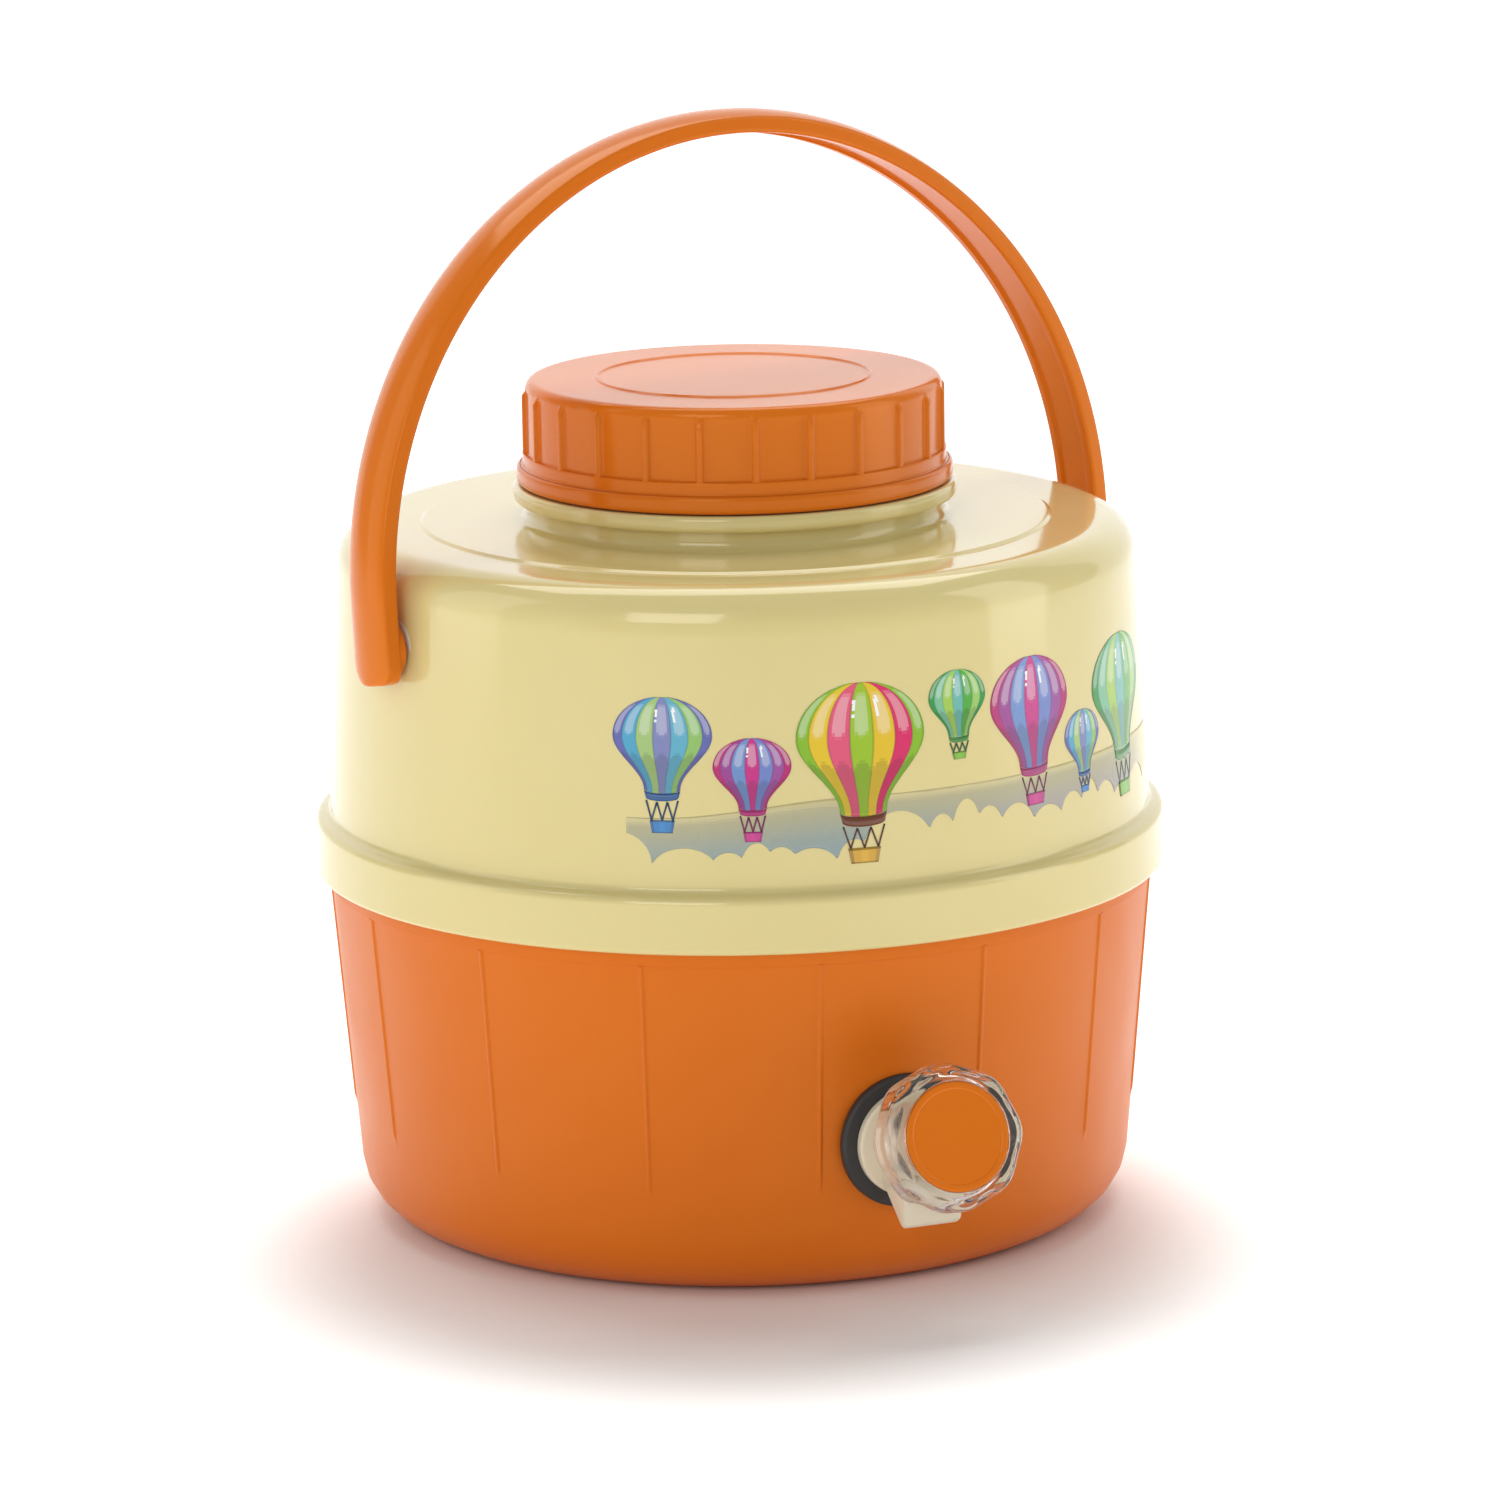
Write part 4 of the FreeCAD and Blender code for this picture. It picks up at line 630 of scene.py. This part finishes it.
def envelope(centre, top, skirt, wide, panels):
    """Half width: a quarter ellipse to 0.42 of the height, then a cosine from 1 to 0.36; x from p and sin p."""
    v = np.concatenate([[0.004, 0.012], np.linspace(0.025, 1, 38)])[:, None]
    edges = np.radians(np.linspace(-90, 90, 8))
    inside = np.array([0, 0.05, 0.2, 0.35, 0.5, 0.65, 0.8, 0.95])
    p = np.append(edges[:-1, None] + np.diff(edges)[:, None] * inside, np.pi / 2)
    bulge = np.where(v < 0.42, np.sqrt(1 - ((0.42 - np.minimum(v, 0.42)) / 0.42) ** 2),
                     0.68 + 0.32 * np.cos(np.pi * (v - 0.42) / 0.58))
    x = bulge * wide / 2 * (0.5 * np.sin(p) + p / np.pi)
    z = top - (top - skirt) * v - 0.035 * wide * np.cos(p) * v
    vc, pc = (v[1:] + v[:-1]) / 2, (p[1:] + p[:-1]) / 2
    gore = np.clip(((pc + np.pi / 2) / np.pi * 7).astype(int), 0, 6)
    local = (pc + np.pi / 2) / np.pi * 7 - gore - 0.5
    ink = panels[gore] * np.ones((len(vc), 1, 1))
    light = (0.24 * (1 - smooth(np.abs(local), 0.2, 0.4)) * smooth(vc, 0.06, 0.12)
             * (1 - smooth(vc + 0.5 * local ** 2, 0.38, 0.42)))[..., None]
    shade = (0.72 + 0.28 * (1 - smooth(vc + 0.35 * (0.25 - local ** 2), 0.66, 0.69)))[..., None]
    seam = np.where((np.abs(local) > 0.44) | (np.abs(np.degrees(pc)) > 86), 0.72, 1.0)[:, None]
    ink = (ink * (1 - light) + light) * shade * seam
    glints = [(-0.11, 0.17, 0.028, 0.05), (0.23, 0.16, 0.028, 0.05),
              (-0.12, 0.25, 0.02, 0.02), (0.24, 0.24, 0.02, 0.02)]
    u = (0.5 * np.sin(pc) + pc / np.pi) * (bulge[1:] + bulge[:-1]) / 2
    for gu, gv, gw, gh in glints:
        ink = np.where((((u - gu) / gw) ** 2 + ((vc - gv) / gh) ** 2 < 1)[..., None], 0.93, ink)
    return flat_patch(centre, x, z, ink)


def balloon(turn, top, skirt, foot, wide, kind):
    """Envelope, skirt band, ropes in a zigzag and a basket, all in proportion to the width and height."""
    half, drop = 0.18 * wide, 0.035 * wide
    patches = [envelope(turn, top, skirt, wide, INK[kind])]
    u = np.linspace(-1, 1, 13)
    band_v = np.linspace(0, 1, 3)[:, None]
    band_h = 0.075 * wide
    patches.append(flat_patch(turn, u * half * (1 - 0.10 * band_v), skirt - band_h * band_v
                              - drop * np.sqrt(1.02 - u ** 2), np.broadcast_to(TRIM[kind], (2, 12, 3))))
    basket_h = 0.30 * (skirt - foot)
    rope_top, rope_foot, foot_half = skirt - band_h - 0.3 * drop, foot + basket_h, half * 0.62
    tops = np.linspace(-0.88, 0.88, 4) * half
    feet = np.linspace(-0.95, 0.95, 3) * foot_half
    for a, b in zip(tops[[0, 3, 1, 1, 2, 2]], feet[[0, 2, 0, 1, 1, 2]]):
        low = drop * (1 - (a / half) ** 2) ** 0.5
        patches.append(strip(turn, (a, rope_top - low), (b, rope_foot), 0.42, TRIM[kind] * 0.45))
    rows = np.array([0, 0.16, 0.2, 0.86, 0.9, 1.0])[:, None]
    weave = np.array([0.55, 1.0, 1.0, 1.0, 0.55])[:, None, None]
    columns = np.linspace(-1, 1, 9)
    sides = np.array([0.6, 1, 1, 1.12, 1.12, 1, 1, 0.7])[None, :, None]
    patches.append(flat_patch(turn, columns * foot_half * (1.12 - 0.2 * rows), rope_foot - basket_h * rows,
                              BASKET[kind] * weave * sides))
    return patches


def haze(shift):
    """Rows from the haze's top to the cloud edge, which is the highest of many half ellipses at each angle."""
    turn = np.linspace(-49.3, 47.5, 390)
    # each cloud's angle, half width in degrees, foot and rise in mm
    lobes = np.array([
        (-50.2, 4.4, 109.0, 8.0), (-41.5, 4.6, 107.5, 6.0), (-35.6, 2.6, 107.5, 5.0), (-31.8, 2.2, 108.5, 6.2),
        (-28.6, 2.4, 108.0, 5.6), (-24.4, 3.7, 107.4, 5.6), (-18.6, 2.6, 107.5, 7.0), (-12.4, 5.2, 110.5, 9.8),
        (-5.9, 2.2, 112.0, 6.4), (-2.0, 2.3, 113.0, 8.2), (1.7, 2.4, 112.0, 6.6), (6.6, 3.4, 110.5, 7.4),
        (12.6, 3.6, 109.0, 6.8), (18.0, 3.0, 109.5, 7.8), (22.4, 2.4, 110.0, 9.0), (26.8, 3.2, 109.5, 7.4),
        (32.4, 3.6, 108.5, 6.2), (39.0, 4.4, 108.5, 8.2), (46.5, 4.2, 108.0, 6.6)])
    reach = (turn[:, None] - lobes[:, 0]) / lobes[:, 1]
    humps = lobes[:, 2] + lobes[:, 3] * np.sqrt(np.clip(1 - reach ** 2, 0, 1))
    edge = np.where(np.abs(reach) < 1, humps, 106.8).max(1)
    top = 120.6 + 4.0 * smooth(turn, -46, -20)
    v = np.linspace(0, 1, 15)[:, None]
    edge = np.minimum(edge, top - 0.5)
    z = top + (edge - top) * v
    zc = (z[1:, 1:] + z[:-1, :-1]) / 2
    depth = smooth(top[1:] - zc, 0.2, 13.0)[..., None]
    right = smooth(turn[1:], -20, 20)[:, None]
    high, low, dusk, cream = (np.array(linear(text)[:3]) for text in ("b4ae86", "8d9fa0", "a29a9e", CREAM))
    low = low + (dusk - low) * right
    fade = (0.35 + 0.65 * smooth(top[1:] - zc, 0, 2.5)) * (1 - smooth(turn[1:], 33, 47.5))
    cold = high + (low - high) * depth
    return on_shell(turn + shift, z, 0.06), cream + (cold - cream) * fade[..., None]


# %% Printed band
def make_print(name, patches, material):
    """Thin coloured film: each square of each patch keeps its own colour, and Solidify gives it a thickness."""
    points, faces, colours, start = [], [], [], 0
    for grid, ink in patches:
        quads = squares(grid.shape[:2], (False, False))
        a, b, c = (grid.reshape(-1, 3)[quads[0, i]] for i in range(3))
        if np.cross(b - a, c - b) @ (a * (1, 1, 0)) < 0:
            quads = quads[:, ::-1]
        points.append(grid.reshape(-1, 3) * MM)
        faces.append(quads + start)
        colours.append(ink.reshape(-1, 3))
        start += len(points[-1])
    mesh = bpy.data.meshes.new(name)
    mesh.from_pydata(np.concatenate(points).tolist(), [], np.concatenate(faces).tolist())
    ink = np.concatenate(colours)
    ink = np.repeat(np.concatenate([np.clip(ink, 0, 1), np.ones((len(ink), 1))], 1), 4, 0)
    layer = mesh.color_attributes.new("ink", "FLOAT_COLOR", "CORNER")
    layer.data.foreach_set("color", ink.ravel())
    mesh.shade_smooth()
    mesh.materials.append(material)
    piece = shown(name, mesh)
    film = piece.modifiers.new("film", "SOLIDIFY")
    film.thickness, film.offset = 0.04 * MM, -1
    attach(piece, "jug")
    print(name, len(mesh.polygons), "faces")


printing_ink = plastic("glossy_screen_printing_ink", CREAM, CREAM_DEEP, 0.25, 9.0, 0.006, 0.3)
tree = printing_ink.node_tree
ink_colour = node(tree, "ShaderNodeVertexColor", {"layer_name": "ink"})
tree.links.new(ink_colour.outputs["Color"], tree.nodes["Principled BSDF"].inputs["Base Color"])
for name, shift in (("front", 0.0), ("back", 180.0)):
    make_print("printed_haze_" + name, [haze(shift)], printing_ink)
    motifs = [patch for place in BALLOONS for patch in balloon(place[0] + shift, *place[1:])]
    make_print("printed_balloons_" + name, motifs, printing_ink)

# %% [markdown]
# ## Floor, lights and camera
#
# The jug stands in a white studio. The floor curves up into the wall behind, so there is no
# horizon. Large soft panels on both sides and above draw the long pale reflections down the
# shell's edges and round its shoulder. The camera is a long lens, a little above the jug.

# %% Seamless backdrop
steps = np.linspace(0, 1, 40)
bend = np.radians(90 * steps)
path = np.concatenate([[(-2500.0, 0.0)], np.stack([1500 + 900 * np.sin(bend), 900 - 900 * np.cos(bend)], -1),
                       [(2400.0, 3000.0)]])
VIEW = math.radians(34.0)
towards = np.array([math.sin(VIEW), math.cos(VIEW), 0.0])
aside = np.array([math.cos(VIEW), -math.sin(VIEW), 0.0])
middle_line = path[:, :1] * towards + path[:, 1:] * np.array([0, 0, 1])
sweep = middle_line[:, None] + aside * np.array([-3200.0, 3200.0])[:, None]
mesh = bpy.data.meshes.new("backdrop")
mesh.from_pydata((sweep.reshape(-1, 3) * MM - np.array([0, 0, 0.0002])).tolist(), [],
                 squares(sweep.shape[:2], (False, False)).tolist())
mesh.shade_smooth()
paper = bpy.data.materials.new("white_seamless_paper")
paper.use_nodes = True
skin = paper.node_tree.nodes["Principled BSDF"]
place = node(paper.node_tree, "ShaderNodeTexCoord").outputs["Object"]
pulp = node(paper.node_tree, "ShaderNodeTexNoise", values={"Scale": 900.0, "Detail": 3.0},
            links={"Vector": place})
tint = node(paper.node_tree, "ShaderNodeMix", {"data_type": "RGBA"},
            {"A": linear("f7f6f4"), "B": linear("fbfaf8")}, {"Factor": pulp.outputs["Fac"]})
paper.node_tree.links.new(tint.outputs["Result"], skin.inputs["Base Color"])
skin.inputs["Roughness"].default_value = 0.8
# the sweep glows with painted light from 85 mm out round a point 55 mm in front of the jug, and not nearer in, so
# the floor stays white except in a painted shade there that deepens the jug's own cast shadow
skin.inputs["Emission Color"].default_value = (1, 1, 1, 1)
far = node(paper.node_tree, "ShaderNodeVectorMath", {"operation": "DISTANCE"}, links={0: place})
far.inputs[1].default_value = (-0.055 * math.sin(VIEW), -0.055 * math.cos(VIEW), 0)
# painted glow: no emission near the jug, which paints its shadow, rising to 0.5 from 150 mm out
painted_glow = node(paper.node_tree, "ShaderNodeMapRange", {"interpolation_type": "SMOOTHSTEP"},
                 {"From Min": 0.085, "From Max": 0.150, "To Min": 0.0, "To Max": 0.5},
                 {"Value": far.outputs["Value"]})
paper.node_tree.links.new(painted_glow.outputs["Result"], skin.inputs["Emission Strength"])
mesh.materials.append(paper)
backdrop = shown("backdrop", mesh)

# %% Lights
def panel(name, turn, distance, height, wide, tall, watts):
    """A soft panel at an angle round the jug, from the camera's side, turned to face the jug's middle."""
    light = bpy.data.lights.new(name, "AREA")
    light.shape, light.size, light.size_y, light.energy = "RECTANGLE", wide, tall, watts
    lamp = shown(name, light)
    a = math.radians(turn) - VIEW
    spot = np.array([distance * math.sin(a), -distance * math.cos(a), height])
    back = spot - np.array([0, 0, 0.13])
    back /= np.linalg.norm(back)
    right = np.cross((0, 1, 0) if abs(back[2]) > 0.99 else (0, 0, 1), back)
    right /= np.linalg.norm(right)
    axes = Matrix(np.stack([right, np.cross(back, right), back], -1))
    lamp.matrix_world = Matrix.Translation(spot) @ axes.to_4x4()


panel("overhead_softbox", 186, 0.55, 1.5, 1.5, 0.8, 11)
panel("left_softbox", -80, 1.2, 0.55, 0.55, 1.2, 2.0)
panel("right_softbox", 84, 1.15, 0.5, 0.5, 1.2, 3)
panel("front_fill", -18, 1.9, 0.9, 0.9, 0.9, 7.5)
world = bpy.data.worlds.new("studio_white")
bpy.context.scene.world = world
world.use_nodes = True
world.node_tree.nodes["Background"].inputs["Color"].default_value = (1, 1, 1, 1)
world.node_tree.nodes["Background"].inputs["Strength"].default_value = 0.36
bpy.context.scene.view_settings.view_transform = "Standard"

# %% Camera
DISTANCE, HEIGHT = 1648.5, 476.0
pan, tilt, roll = (math.radians(d) for d in (0.096, 12.356, -0.855))
forward = np.array([math.sin(pan) * math.cos(tilt), math.cos(pan) * math.cos(tilt), -math.sin(tilt)])
level = np.array([math.cos(pan), -math.sin(pan), 0.0])
raised = np.cross(level, forward)
right = math.cos(roll) * level + math.sin(roll) * raised
up = -math.sin(roll) * level + math.cos(roll) * raised
spin = np.array([[math.cos(VIEW), math.sin(VIEW), 0], [-math.sin(VIEW), math.cos(VIEW), 0], [0, 0, 1]])
eye = spin @ np.array([0, -DISTANCE, HEIGHT]) * MM
axes = spin @ np.stack([right, up, -forward], -1)
lens = bpy.data.cameras.new("camera")
lens.sensor_width, lens.lens = 36.0, 6705.4 / 1500 * 36
lens.clip_start, lens.clip_end = 0.05, 20.0
camera = shown("camera", lens)
camera.matrix_world = Matrix.Translation(eye) @ Matrix(axes).to_4x4()
bpy.context.scene.camera = camera
print("camera at", np.round(eye, 3).tolist())
